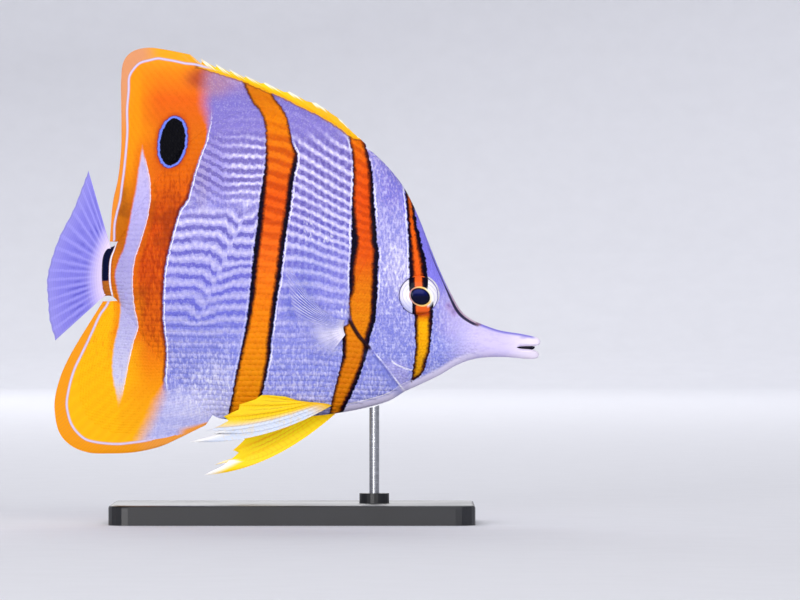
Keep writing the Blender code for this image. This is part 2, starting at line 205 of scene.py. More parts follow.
@dataclass(frozen=True)
class Body:
    """The flesh of the fish: its outline, its thickness and the forms on it."""

    widest_at: float = 0.42
    root_half: float = 1.05
    gill_cover_step: float = 0.45
    head_end: float = 53.6
    stalk_start: float = -53.6
    tail_bend_length: float = 8.0
    tail_slope: float = 0.5
    eye: tuple[float, float] = (37.9, -7.75)
    nostrils: Points = ((48.9, -12.9), (47.4, -11))
    back: Line = Line((
        (-58.5, 7.9), (-54.5, 7.1), (-50.9, 11.8), (-46.4, 19.4), (-40.3, 28.5), (-32.7, 37.3),
        (-23.6, 44.2), (-13, 48.5), (-2.4, 48.8), (7.6, 45.5), (15.8, 40.9), (22.7, 36.7), (27.9, 32.1),
        (32.4, 26.7), (35.5, 21.5), (38.5, 14.8), (41.5, 7), (44.5, -0.3), (47.6, -6.7), (50.6, -12),
        (53.6, -14.7), (58.2, -16.8), (62.7, -18.3), (68.8, -19.3), (72.4, -20), (75, -20.4),
    ))
    belly: Line = Line((
        (-58.5, -8), (-54.5, -8.2), (-50.9, -12.4), (-44.8, -21.2), (-38.8, -29.4), (-31.2, -37.9),
        (-23.6, -44.4), (-16.1, -45.2), (-3.9, -45), (6.7, -44.2), (15.8, -43), (23.3, -41.4),
        (29.4, -39.5), (33.9, -36.8), (38.5, -34.7), (44.5, -31.8), (49.1, -29.1), (53.6, -27.3),
        (58.2, -26.5), (64.2, -26.4), (71.8, -27), (75, -27),
    ))
    width: Line = Line((
        (-58.5, 2.2), (-54, 3.2), (-48, 4.9), (-40, 6.8), (-25, 9.2), (-10, 10.6), (4, 11), (18, 10.9),
        (28, 10), (38, 8), (46, 6), (53, 4.4), (60, 3.3), (68, 2.6), (75, 2.2),
    ))
    gill_edge: Points = (
        (23.3, 36.4), (24.2, 21.2), (24.5, 8.2), (21.5, 1.5), (18.5, -6.1), (17, -13.6), (19.1, -18.8),
        (22.7, -23.3), (27.9, -29.7), (32.4, -35.8), (33.6, -37),
    )
    tail_root: Points = ((-56, 7.4), (-57.6, 4.2), (-58, 0), (-57.9, -4.2), (-57.2, -8))
    cheek_edge: Points = (
        (28, -12), (26.6, -18), (27.4, -24), (30, -27.6), (32.4, -29.1), (36.1, -30.3), (41, -30),
    )

    def height_share(self, x, z) -> np.ndarray:
        """Share of the body's height at which z lies, 0 on the belly's edge."""
        low = self.belly.at(x)
        return (z - low) / (self.back.at(x) - low)

    def by_share(self, line: Points) -> Line:
        """A line across the body, as x by height share."""
        x, z = np.array(line).T
        return Line(tuple(sorted(zip(self.height_share(x, z).tolist(), x.tolist()))))

    def root(self, x, upper) -> np.ndarray:
        """Half thickness at the body's edge, where a middle fin grows from it."""
        above = step(22.2, 18, x) * step(-53, -50.5, x)
        below = step(-24.4, -27.5, x) * step(-53.2, -50.7, x)
        return self.root_half * np.where(upper, above, below)

    def half(self, x, z) -> np.ndarray:
        """Half the width of the smooth skin at a point of the middle plane.

        Args:
            x: Places in mm.
            z: Places in mm.

        Returns:
            Half widths in mm, down to the fins' root on the body's edge.
        """
        low, top = self.belly.at(x), self.back.at(x)
        widest = mix(low, top, self.widest_at)
        stalk = step(-52, -56.5, x)
        upper = z > widest
        away = np.where(upper, (z - widest) / (top - widest), (widest - z) / (widest - low))
        away = np.clip(away, 0, 1)
        rounded = np.where(upper, step(19, 27, x), step(-27, -17, x))
        rounded = np.maximum(rounded, stalk)
        fall = (1 - away ** mix(1.6, 2, rounded)) ** mix(1, 0.5, rounded)
        # A hollow curve leads over from the body to a fin
        hollow = 0.07 * (1 - rounded)
        fall = (1 + hollow) * fall**2 / (fall + hollow + 1e-9)
        root = self.root(x, upper)
        tail = x - TAIL_ROOT.at((z - low) / (top - low))
        end = np.sqrt(1 - np.clip((0.9 - tail) / 0.9, 0, 1) ** 2)
        return (root + (self.width.at(x) - COAT_DEPTH - root) * fall) * end

    def slopes(self, x, z, reach: float) -> tuple[np.ndarray, np.ndarray]:
        """How fast the half width grows forwards and upwards, measured over a reach."""
        run = (self.half(x + reach, z) - self.half(x - reach, z)) / (2 * reach)
        return run, (self.half(x, z + reach) - self.half(x, z - reach)) / (2 * reach)

    def eye_distance(self, x, z) -> np.ndarray:
        """Distance from the middle of the eye, in mm."""
        return np.hypot(x - self.eye[0], z - self.eye[1])

    def relief(self, x, z, on_head) -> np.ndarray:
        """How far the forms of the head stand out of the smooth skin.

        Args:
            x: Places in mm.
            z: Places in mm.
            on_head: Whether each point belongs to the gill cover's side of its edge.

        Returns:
            Heights in mm.
        """
        share = self.height_share(x, z)
        gill = self.by_share(self.gill_edge).at(share)
        u = (x - gill) / (self.head_end - gill)
        cover = step(0.03, 0.12, share) * step(0.62, 0.5, share)
        out = np.where(on_head, self.gill_cover_step * cover * step(0.45, 0, u), 0)
        out -= np.where(on_head, 0, 0.12 * cover * step(-1.2, 0, x - gill))
        ring = self.eye_distance(x, z)
        out += 0.15 * bump(ring, 6.6, 0.9) - 1.5 * step(6.04, 5.46, ring)
        out -= 0.16 * bump(distance_to(self.cheek_edge, x, z), -0.3, 0.8) * step(46, 38, x)
        for (nx, nz), radius in zip(self.nostrils, (0.62, 0.48)):
            hole = np.hypot((x - nx) * 0.8, z - nz)
            out += 0.14 * bump(hole, radius + 0.35, 0.3) - 0.8 * step(radius + 0.12, radius * 0.4, hole)
        return out

    def bend(self, x) -> np.ndarray:
        """How far the middle plane has swung to the left, where the tail turns."""
        back = np.maximum(self.stalk_start - x, 0)
        q = np.minimum(back / self.tail_bend_length, 1)
        curved = self.tail_bend_length * (q**3 - q**4 / 2)
        return self.tail_slope * (curved + np.maximum(back - self.tail_bend_length, 0))


BODY = Body()
TAIL_ROOT = BODY.by_share(BODY.tail_root)


def ray_at(v, rays: int, offset: float = 0, ray_share: float = 0.17):
    """Moves grid lines so that they meet each ray's crest and feet.

    Args:
        v: Shares of the way across the fin.
        rays: How many rays the fin has.
        offset: How far the first ray stands from the edge, in rays.
        ray_share: Half a ray's width as a share of the way to the next.

    Returns:
        The moved shares, the distance from the ray's middle in rays, and the
        ray's height there from 0 to 1.
    """
    where = np.asarray(v) * rays + offset
    whole = np.floor(where + 0.5)
    away = np.abs(where - whole)
    moved = np.where(
        away < 0.25, away * ray_share / 0.25, mix(ray_share, 0.5, (away - 0.25) / 0.25)
    )
    side = np.where(where > whole, 1, -1)
    return (whole + side * moved - offset) / rays, moved, np.maximum(1 - moved / ray_share, 0)


@dataclass(frozen=True)
class MiddleFin:
    """A fin in the middle plane, from the body's edge to its ray tips."""

    edge: Line
    roots: tuple[float, ...]
    tips: Points
    rays: int
    ridge: float
    spiny: bool = False
    thin_half: float = 0.2
    spine_notch: float = 0.85

    @property
    def offset(self) -> float:
        """How far the first ray stands from the fin's edge, in rays."""
        return 0.5 if self.spiny else 0.0

    def root_x(self, v) -> np.ndarray:
        """Where on the body's edge the ray at v starts."""
        return along(tuple((x, 0) for x in self.roots), v)[0]

    def place(self, u, v, moved, crest, closed=1.0):
        """Points of the fin's side.

        Args:
            u: Shares of the way from root to tip.
            v: Shares of the way across the rays.
            moved: Distance from each ray's middle, in rays.
            crest: Height of the ray there, from 0 to 1.
            closed: 0 at the fin's first and last ray, where its sides meet.

        Returns:
            x, z and half the thickness, in mm.
        """
        x0 = self.root_x(v)
        z0 = self.edge.at(x0)
        x1, z1 = along(self.tips, v)
        reach = u * mix(1, self.spine_notch, (2 * moved) ** 0.7) if self.spiny else u
        x, z = mix(x0, x1, reach), mix(z0, z1, reach)
        root = BODY.root(x0, z0 > 0)
        half = mix(self.thin_half * closed, root, (1 - u) ** 3)
        half = half + self.ridge * crest * closed * step(0, 0.2, u) * mix(1, 0.4, u)
        rim = np.sqrt(np.clip(1 - np.clip((u - 0.97) / 0.03, 0, 1) ** 2, 0, 1))
        return x, z, half * rim


SPINY_FIN = MiddleFin(
    edge=BODY.back,
    roots=(22.2, 19.5, 16, 12.5, 8, 3, -1.5, -6.1, -10, -13),
    tips=(
        (22, 38.3), (17.9, 42.1), (11.2, 48.3), (2.4, 52.7), (-4.8, 55.5), (-12.1, 58.2), (-17, 60),
        (-21.5, 61.8), (-25.8, 63.5), (-30.4, 65),
    ),
    rays=9, ridge=0.3, spiny=True,
)
SOFT_FIN = MiddleFin(
    edge=BODY.back,
    roots=(-13.6, -18.5, -23.6, -28.2, -32.7, -36.7, -40.3, -43.9, -46.9, -49.4, -51.6, -53),
    tips=(
        (-31.2, 65.3), (-38.8, 66.8), (-44.2, 67.35), (-48.8, 66.1), (-51.4, 63), (-52.1, 57.6),
        (-52.1, 51.5), (-52, 43.9), (-52.1, 36.4), (-53, 27.9), (-54.7, 19.7), (-55.5, 8.6),
    ),
    rays=28, ridge=0.09,
)
ANAL_FIN = MiddleFin(
    edge=BODY.belly,
    roots=(
        -24.4, -27.3, -29.9, -32.7, -35.2, -37.6, -40, -42.4, -44.8, -47.3, -49.7, -51.8, -53.2,
    ),
    tips=(
        (-26.5, -47), (-34.2, -50.8), (-40.3, -53.5), (-47.9, -55.2), (-55.5, -55.6), (-62.1, -55.3),
        (-67.6, -53), (-71.1, -48.6), (-72.3, -40.9), (-70.9, -33.6), (-68, -26.7), (-63.6, -19.1),
        (-57.6, -9.5),
    ),
    rays=22, ridge=0.09,
)


@dataclass(frozen=True)
class Band:
    """A band across the body: where its dark rear and front edges start and end.

    Each line is x by z, from low to high. rear_dark and front_dark are how
    wide the dark edges are, in mm by z.
    """

    rear: Line
    front: Line
    rear_dark: Line
    front_dark: Line
    low: float
    high: float

    def inside(self, x, z) -> tuple[np.ndarray, np.ndarray]:
        """How deep points lie in the whole band and in its orange middle, in mm."""
        rear = self.rear.beyond(z, x)
        front = -self.front.beyond(z, x)
        ends = np.minimum(z - self.low, self.high - z)
        whole = np.minimum(np.minimum(rear, front), ends)
        middle = np.minimum(rear - self.rear_dark.at(z), front - self.front_dark.at(z))
        return whole, np.minimum(middle, whole)


EYE_BAND = Band(
    rear=Line((
        (-33.6, 35.6), (-30.3, 36.1), (-24.2, 36.9), (-21.2, 36.9), (-10.6, 36.4), (-3, 35.3), (3, 35),
        (9.1, 34.9), (15.2, 34.5), (21.2, 34.1), (25.8, 33.6), (30, 33.2),
    )),
    front=Line((
        (-33.6, 36.4), (-31.5, 39.2), (-27.3, 40.6), (-24.2, 41.6), (-18.2, 42.1), (-12.1, 42.4),
        (-9, 41.2), (-3, 40.9), (3, 40.3), (9.1, 38.8), (15.2, 37.4), (21.2, 36.5), (25.8, 35.2), (30, 34),
    )),
    rear_dark=Line((
        (-33.6, 0.5), (-24, 0.4), (-15, 0.7), (-9, 1), (-3, 1.3), (9, 0.9), (20, 0.9), (30, 0.4),
    )),
    front_dark=Line((
        (-33.6, 0.5), (-24, 0.6), (-15, 0.9), (-9, 1), (-3, 1.5), (9, 1.3), (20, 0.8), (30, 0.4),
    )),
    low=-33.9, high=30.0,
)
GILL_BAND = Band(
    rear=Line((
        (-45.5, 10.2), (-41.8, 11.2), (-36.4, 12.4), (-30.3, 14), (-25.8, 14.9), (-21.2, 14.9),
        (-17.5, 15.2), (-15.6, 17), (-9.1, 17), (-6.1, 17.2), (0, 17), (6.1, 17.6), (12.1, 17.6),
        (21.2, 17.9), (30.3, 18.2), (36.4, 17.6), (45.5, 15.5),
    )),
    front=Line((
        (-45.5, 14.6), (-41.8, 15.9), (-36.4, 18.6), (-30.3, 21), (-25.8, 22.4), (-21.2, 23.3), (-15.2, 25),
        (-6.1, 25.7), (0, 25.9), (6.1, 26.2), (9.1, 25.6), (15.2, 25.2), (21.2, 24.7), (30.3, 24),
        (36.4, 22.5), (45.5, 20),
    )),
    rear_dark=Line((
        (-45.5, 0.3), (-30, 0.4), (-25.8, 0.8), (-19, 0.8), (-15.5, -0.3), (-10, -0.2), (-6, 1), (3, 1.4),
        (9.1, 1.9), (13, 1.3), (21, 0.5), (45.5, 0.3),
    )),
    front_dark=Line((
        (-45.5, 0.9), (-36.4, 1.2), (-27, 1), (-21, 1.3), (-12, 1.4), (-3, 1.5), (9.1, 1.5), (21, 1.2),
        (30.3, 0.8), (45.5, 0.5),
    )),
    low=-50.0, high=60.0,
)
MIDDLE_BAND = Band(
    rear=Line((
        (-43.9, -19.7), (-36.4, -18.2), (-30.3, -17), (-24.2, -15.7), (-18.2, -14.5), (-12.1, -13.6),
        (-6.1, -12.9), (0, -12.4), (6.1, -11.8), (12.1, -11), (18.2, -10.4), (24.2, -9.6), (30.3, -8.7),
        (40.9, -8.2), (45.5, -8.8), (48.5, -10.3), (51.5, -12.7), (57.6, -15.5),
    )),
    front=Line((
        (-43.9, -10.6), (-36.4, -8.8), (-27.3, -6.9), (-21.2, -6.3), (-9.1, -4.7), (-3, -3.6), (9.1, -2.1),
        (21.2, -0.3), (27.3, 0.3), (30.3, 1), (34.8, 1.5), (39.4, -0.3), (45.5, -1.5), (48.5, -3),
        (51.5, -5.2), (57.6, -9.1),
    )),
    rear_dark=Line((
        (-43.9, 0.4), (-24, 0.6), (-12, 1.1), (0, 1.4), (18, 1.4), (28, 0.8), (36, 0.4), (57.6, 0.3),
    )),
    front_dark=Line((
        (-43.9, 0.5), (-30, 0.8), (-12, 1.1), (0, 1.3), (15, 1.3), (30, 1.2), (40, 0.5), (57.6, 0.3),
    )),
    low=-50.0, high=70.0,
)
BANDS = (EYE_BAND, GILL_BAND, MIDDLE_BAND)


@dataclass(frozen=True)
class RearMarks:
    """Markings of the rear body and the back and anal fins."""

    band_front: Line = Line((
        (-51.5, -46.4), (-43.9, -42.7), (-39.4, -40.9), (-36.4, -39.7), (-30.3, -38.8), (-24.2, -38.5),
        (-15.2, -39.4), (-6.1, -39.2), (0, -38.8), (6.1, -37.6), (12.1, -36.1), (18.2, -34.2),
        (21.2, -32.1), (24.2, -31.2), (30.3, -29.7), (36.4, -27.6), (39.4, -26.4), (43.9, -26.1),
        (51.5, -27.3), (59.1, -26.7), (63.6, -23.9),
    ))
    stripe_front: Line = Line((
        (-42.1, -53), (-39.4, -52.1), (-33.3, -50.9), (-27.3, -49.7), (-21.2, -48.2), (-17.3, -47),
        (-12.1, -47.9), (-6.1, -48.5), (-1.5, -48.5), (3, -47.9), (9.1, -45.9), (15.2, -44.2),
        (21.2, -43.3), (27.3, -43.4), (30.3, -43.9), (36.4, -45), (42.4, -45.4),
    ))
    stripe_rear: Line = Line((
        (-42.1, -53), (-39.4, -53.3), (-33.3, -54.5), (-28.8, -54.8), (-24.2, -54.5), (-21.2, -53.9),
        (-15.2, -52.6), (-10.6, -52.4), (-6.1, -53.3), (-1.5, -53.9), (3, -52.8), (6.7, -51.2), (12.1, -50),
        (18.2, -48.9), (24.2, -47.7), (30.3, -46.9), (36.4, -46.3), (42.4, -45.6),
    ))
    eyespot: tuple[float, float] = (-36.5, 38.8)
    eyespot_half: tuple[float, float] = (3.6, 6.95)
    back_line: Points = (
        (-54.2, 9.1), (-54.1, 13.6), (-53.3, 17.6), (-52.4, 21.2), (-51.8, 25.8), (-51.2, 30.3),
        (-50.6, 36.4), (-50.2, 42.4), (-50.3, 48.5), (-49.8, 54.5), (-49.7, 58.2), (-48.5, 60.6),
        (-46.4, 62.7), (-43.3, 63.6), (-40.9, 64.1), (-38.8, 63.8), (-35.8, 63.3), (-32.7, 62.6),
        (-29.7, 62.3), (-26.7, 61.5), (-24.5, 60.9),
    )
    anal_line: Points = (
        (-53.8, -5), (-56.4, -10.6), (-58.5, -13.6), (-60.6, -18.2), (-62.7, -22.7), (-64.5, -26.4),
        (-66.1, -29.7), (-67.3, -33.3), (-68.2, -37.3), (-68.6, -40.3), (-68.3, -43), (-67.3, -46.4),
        (-65.5, -49.1), (-63, -51.2), (-60, -52.1), (-56.1, -52.6), (-52.4, -52.7), (-48.8, -52.3),
        (-46.4, -52), (-43, -51.4),
    )
    spine_band: Line = Line((
        (-28, 61.2), (-23.6, 59.7), (-16.1, 57.3), (-10, 54.8), (-3.9, 52.4), (2.1, 49.4), (8.2, 46.4),
        (14.2, 42.7), (17.3, 40.3), (20, 39.4), (24, 39.4),
    ))
    stalk_bar: tuple[float, float, float] = (-3.3, 9.5, 2.2)


REAR = RearMarks()


@dataclass(frozen=True)
class Rows:
    """How scale rows lie on the body, in arc length over the skin."""

    tilt: float = 0.68
    grid: float = 0.25
    x: np.ndarray = field(default_factory=lambda: np.arange(-76.0, 76.01, 0.25))
    z: np.ndarray = field(default_factory=lambda: np.arange(-58.0, 70.01, 0.25))

    def fields(self) -> tuple[np.ndarray, np.ndarray]:
        """Arc lengths over the skin, forward and upward, on a grid of x by z."""
        x, z = np.meshgrid(self.x, self.z, indexing="ij")
        low, top = BODY.belly.at(x), BODY.back.at(x)
        inside = np.clip(z, low + 0.02, top - 0.02)
        half = BODY.half(x, inside)
        rise = np.minimum(np.abs(np.gradient(half, self.grid, axis=1)), 3.0)
        run = np.minimum(np.abs(np.gradient(half, self.grid, axis=0)), 3.0)
        flat = (z < low) | (z > top)
        up = np.cumsum(np.where(flat, 1, np.sqrt(1 + rise**2)), axis=1) * self.grid
        ahead = np.cumsum(np.where(flat, 1, np.sqrt(1 + run**2)), axis=0) * self.grid
        middle = mix(low[:, 0], top[:, 0], BODY.widest_at)
        level = np.array([np.interp(m, self.z, row) for m, row in zip(middle, up)])
        start = np.argmin(np.abs(self.x))
        return ahead - ahead[start], up - level[:, None] + middle[:, None]

    def lean(self, x, z) -> np.ndarray:
        """How far rows of the upper front flank drop towards the head."""
        start = mix(1.0, -14.0, step(-10, 35, z))
        t = np.clip((x - start) / 12, 0, 1)
        ahead = 12 * (t**3 - t**4 / 2) + np.clip(x - start - 12, 0, 24)
        return self.tilt * mix(0.15, 1.0, step(-22, 20, z)) * ahead * step(60, 20, x)


class Lie:
    """Looks up the rows' arc lengths at any point of the side view."""

    def __init__(self) -> None:
        """Works the fields out once."""
        self.rows = Rows()
        self.ahead, self.up = self.rows.fields()

    def look(self, values: np.ndarray, x, z) -> np.ndarray:
        """Value of a field at points, between its grid's corners."""
        i = np.clip((x - self.rows.x[0]) / self.rows.grid, 0, len(self.rows.x) - 1.001)
        j = np.clip((z - self.rows.z[0]) / self.rows.grid, 0, len(self.rows.z) - 1.001)
        a, b = i.astype(int), j.astype(int)
        s, t = i - a, j - b
        return (
            values[a, b] * (1 - s) * (1 - t) + values[a + 1, b] * s * (1 - t)
            + values[a, b + 1] * (1 - s) * t + values[a + 1, b + 1] * s * t
        )

    def unwrap(self, x, z, side) -> np.ndarray:
        """Places on an unwrap of the skin, the left side beside the right.

        Args:
            x: Places in mm.
            z: Places in mm.
            side: 1 on the left side and -1 on the right, for each point.

        Returns:
            One pair of numbers from 0 to 1 for each point.
        """
        across = (self.look(self.ahead, x, z) + 82) / 170
        up = (self.look(self.up, x, z) + 75) / 170
        across = np.where(side > 0, 0.99 - across * 0.48, 0.01 + across * 0.48)
        return np.stack([across, up * 0.98 + 0.01], axis=-1)


def marks_at(lie: Lie, x, z, head, u, phase) -> dict[str, np.ndarray]:
    """Everything that the markings need to know at points of the side view.

    Args:
        lie: The scale rows.
        x: Places in mm.
        z: Places in mm.
        head: 1 where a point belongs to the head, and 2 inside the mouth.
        u: Share of the way up a fin, 0 on the body.
        phase: Which ray it is on, counted in rays.

    Returns:
        Named triples of numbers, one for each point.
    """
    insides = [band.inside(x, z) for band in BANDS]
    rear = -REAR.band_front.beyond(z, x)
    behind = -REAR.stripe_rear.beyond(z, x)
    stripe = np.minimum(-behind, -REAR.stripe_front.beyond(z, x))
    stripe = np.minimum(stripe, 42 - np.abs(z))
    sx, sz = REAR.eyespot
    hx, hz = REAR.eyespot_half
    leaned = x - sx - 0.11 * (z - sz)
    oval = np.hypot(leaned / hx, (z - sz) / hz)
    steepness = np.hypot(leaned / hx**2, (z - sz) / hz**2) / np.maximum(oval, 0.2)
    spot = (oval - 1) / np.maximum(steepness, 0.1)
    lilac = np.where(
        z > 0, distance_to(REAR.back_line, x, z), -distance_to(REAR.anal_line, x, z)
    )
    spine = REAR.spine_band.beyond(x, z)
    tail = x - TAIL_ROOT.at(BODY.height_share(x, z))
    low, high, wide = REAR.stalk_bar
    bar = np.minimum(np.minimum(tail, wide - tail), np.minimum(z - low, high - z))
    first_rear = EYE_BAND.rear.beyond(z, x) + EYE_BAND.front.beyond(z, x)
    row = lie.look(lie.up, x, z) + lie.rows.lean(x, z)
    cheek = np.abs(distance_to(BODY.cheek_edge, x, z))
    cheek = np.where((x > 29.6) & (x < 36.4) & (z < -27), cheek, 9)
    gill = distance_to(BODY.gill_edge, x, z)
    return {
        "bands": np.stack([whole for whole, _ in insides], axis=-1),
        "middles": np.stack([middle for _, middle in insides], axis=-1),
        "rear": np.stack([rear, stripe, spot], axis=-1),
        "edges": np.stack([lilac, spine, bar], axis=-1),
        "sides": np.stack([first_rear, behind, BODY.belly.beyond(x, z)], axis=-1),
        "tail": np.stack([tail, cheek, gill], axis=-1),
        "lie": np.stack([row, lie.look(lie.ahead, x, z), head], axis=-1),
        "fin": np.stack([u, phase, -BODY.back.beyond(x, z)], axis=-1),
    }


def write_marks(mesh: bpy.types.Mesh, marks: dict[str, np.ndarray]) -> None:
    """Keeps the markings' numbers on the mesh's vertices."""
    for name, values in marks.items():
        layer = mesh.attributes.new(name, "FLOAT_VECTOR", "POINT")
        layer.data.foreach_set("vector", values.astype(np.float32).ravel())


def points_of(mesh: bpy.types.Mesh) -> np.ndarray:
    """The mesh's vertices, in mm in the fish's own middle plane."""
    values = np.empty(len(mesh.vertices) * 3, np.float32)
    mesh.vertices.foreach_get("co", values)
    return values.reshape(-1, 3).astype(float) / MM - (0, 0, BODY_HEIGHT)


def show(name: str, data: bpy.types.Mesh, finish: bpy.types.Material) -> bpy.types.Object:
    """Puts a finished mesh in the scene as a piece of the fish."""
    piece = bpy.data.objects.new(name, data)
    bpy.context.scene.collection.objects.link(piece)
    data.materials.append(finish)
    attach(piece, "root")
    log.info("%s: %d faces", name, len(data.polygons))
    return piece


def world(x, y, z) -> tuple:
    """Places in metres above the floor, from mm round the middle of the body."""
    return x * MM, y * MM, (z + BODY_HEIGHT) * MM


def smooth(name: str, mesh: bmesh.types.BMesh, closed: bool = True) -> bpy.types.Mesh:
    """Ends a mesh as smooth data, a closed one with its faces turned outwards."""
    if closed:
        mesh.normal_update()
        bmesh.ops.recalc_face_normals(mesh, faces=mesh.faces)
    data = bpy.data.meshes.new(name)
    mesh.to_mesh(data)
    mesh.free()
    data.shade_smooth()
    return data


class Graph:
    """A material, the nodes that paint it and the shade painted so far."""

    def __init__(self, name: str) -> None:
        """Starts a material with a Principled shader."""
        self.material = bpy.data.materials.new(name)
        self.material.use_nodes = True
        self.tree = self.material.node_tree
        self.shader = self.tree.nodes["Principled BSDF"]
        self.place = self.add("TexCoord", out="Object")

    def add(self, kind: str, *values, **settings) -> Socket:
        """Adds a node.

        Args:
            kind: The node's type without its prefix, one of KINDS, or a Math operation.
            *values: A socket to link or a value to set, for each input in turn.
            **settings: The node's own properties, and as at, out and stops which
                inputs the values go to, which output is wanted and a ramp's colours.

        Returns:
            The wanted output socket.
        """
        if kind.isupper():
            kind, settings = "Math", {"operation": kind, **settings}
        kind, preset = KINDS.get(kind, (kind, {}))
        settings = {"at": range(len(values)), "out": 0, "stops": (), **preset, **settings}
        at, out, stops = (settings.pop(key) for key in ("at", "out", "stops"))
        node = self.tree.nodes.new("ShaderNode" + kind)
        for name, value in settings.items():
            setattr(node, name, value)
        for key, value in zip(at, values):
            self.set(node.inputs[key], value)
        for k, (place, tint) in enumerate(stops):
            ramp = node.color_ramp.elements
            stop = ramp[k] if k < 2 else ramp.new(place)
            stop.position, stop.color = place, tint
        return node.outputs[out]

    def set(self, socket: Socket, value) -> None:
        """Links a socket to an input, or sets the input to a value."""
        if isinstance(value, Socket):
            self.tree.links.new(value, socket)
        else:
            socket.default_value = value

    def parts(self, vector: Socket) -> list[Socket]:
        """The three numbers of a vector."""
        return list(self.add("SeparateXYZ", vector).node.outputs)

    def split(self, name: str) -> list[Socket]:
        """The three numbers of a vertex attribute."""
        return self.parts(self.add("Attribute", out="Vector", attribute_name=name))

    def noise(self, scale, detail: float = 3, rough: float = 0.6) -> Socket:
        """Noise over the piece, its scale one number or one for each axis."""
        place = self.place
        if isinstance(scale, tuple):
            place, scale = self.add("Mapping", place, (0, 0, 0), (0, 0, 0), scale), 1
        return self.add("Noise", place, scale, detail, rough)

    def even(self, noise: Socket, low: float = 0, high: float = 1) -> Socket:
        """Noise spread out from low to high."""
        return self.add("MapRange", noise, 0.3, 0.7, low, high)

    def wave(self, value: Socket, pitch: float) -> Socket:
        """A cosine of a length, with its crests a pitch apart."""
        return self.add("COSINE", self.add("MULTIPLY", value, 2 * math.pi / pitch))

    def fade(self, value: Socket, start: float, end: float, to: float = 1) -> Socket:
        """A soft mask that rises from 0 at start to its full value at end."""
        return self.add("Soft", value, start, end, 0, to)

    def line(self, value: Socket, half: float, strength: float = 1) -> Socket:
        """A soft mask round the places where a distance is 0."""
        return self.fade(self.add("ABSOLUTE", value), half * 1.5, half * 0.6, strength)

    def zone(self, *masks, **spans) -> Socket:
        """The product of masks and of soft spans of this material's named values.

        Args:
            *masks: Masks and plain strengths.
            **spans: By a value's name where its mask is 0 and where it is 1. Two more
                numbers say where it is 1 for the last time and where it is 0 again.

        Returns:
            The product.
        """
        made = list(masks)
        for name, (start, end, *rest) in spans.items():
            made.append(self.fade(getattr(self, name), start, end))
            if rest:
                made.append(self.fade(getattr(self, name), rest[1], rest[0]))
        product = made[0]
        for mask in made[1:]:
            product = self.add("MULTIPLY", product, mask)
        return product

    def blend(self, share, low, high) -> Socket:
        """A mix of two tints, each a hex code or a socket."""
        tints = (colour(tint) if isinstance(tint, str) else tint for tint in (low, high))
        return self.add("Blend", share, *tints)

    def lay(self, where, tint, strength: float = 1) -> None:
        """Lays a tint over the shade where a mask is 1."""
        where = where if strength == 1 else self.add("MULTIPLY", where, strength)
        self.shade = self.blend(where, self.shade, tint)

    def multiply(self, share) -> None:
        """Darkens or brightens the shade by a share."""
        self.shade = self.add("Blend", 1, self.shade, share, blend_type="MULTIPLY")

    def finish(self, **values) -> bpy.types.Material:
        """Gives the shader the shade and these values, and returns the material."""
        for name, value in {"Base_Color": self.shade, **values}.items():
            self.set(self.shader.inputs[name.replace("_", " ")], value)
        return self.material


# Node types with settings that are used over and over
KINDS = {
    "Soft": ("MapRange", {"interpolation_type": "SMOOTHSTEP"}),
    "Blend": ("Mix", {"data_type": "RGBA", "at": (0, 6, 7), "out": 2}),
    "Noise": ("TexNoise", {"at": (0, 2, 3, 4)}),
    "Bump": ("Bump", {"at": ("Strength", "Distance", "Height")}),
}


def colour(code: str) -> tuple[float, float, float, float]:
    """The linear colour of an sRGB hex code."""
    parts = [int(code[k:k + 2], 16) / 255 for k in (1, 3, 5)]
    linear = [p / 12.92 if p <= 0.04045 else ((p + 0.055) / 1.055) ** 2.4 for p in parts]
    return (*linear, 1.0)


@dataclass(frozen=True)
class Patch:
    """A soft oval patch of tint on the skin, sized in mm."""

    middle: tuple[float, float]
    reach: tuple[float, float]
    tint: str
    strength: float


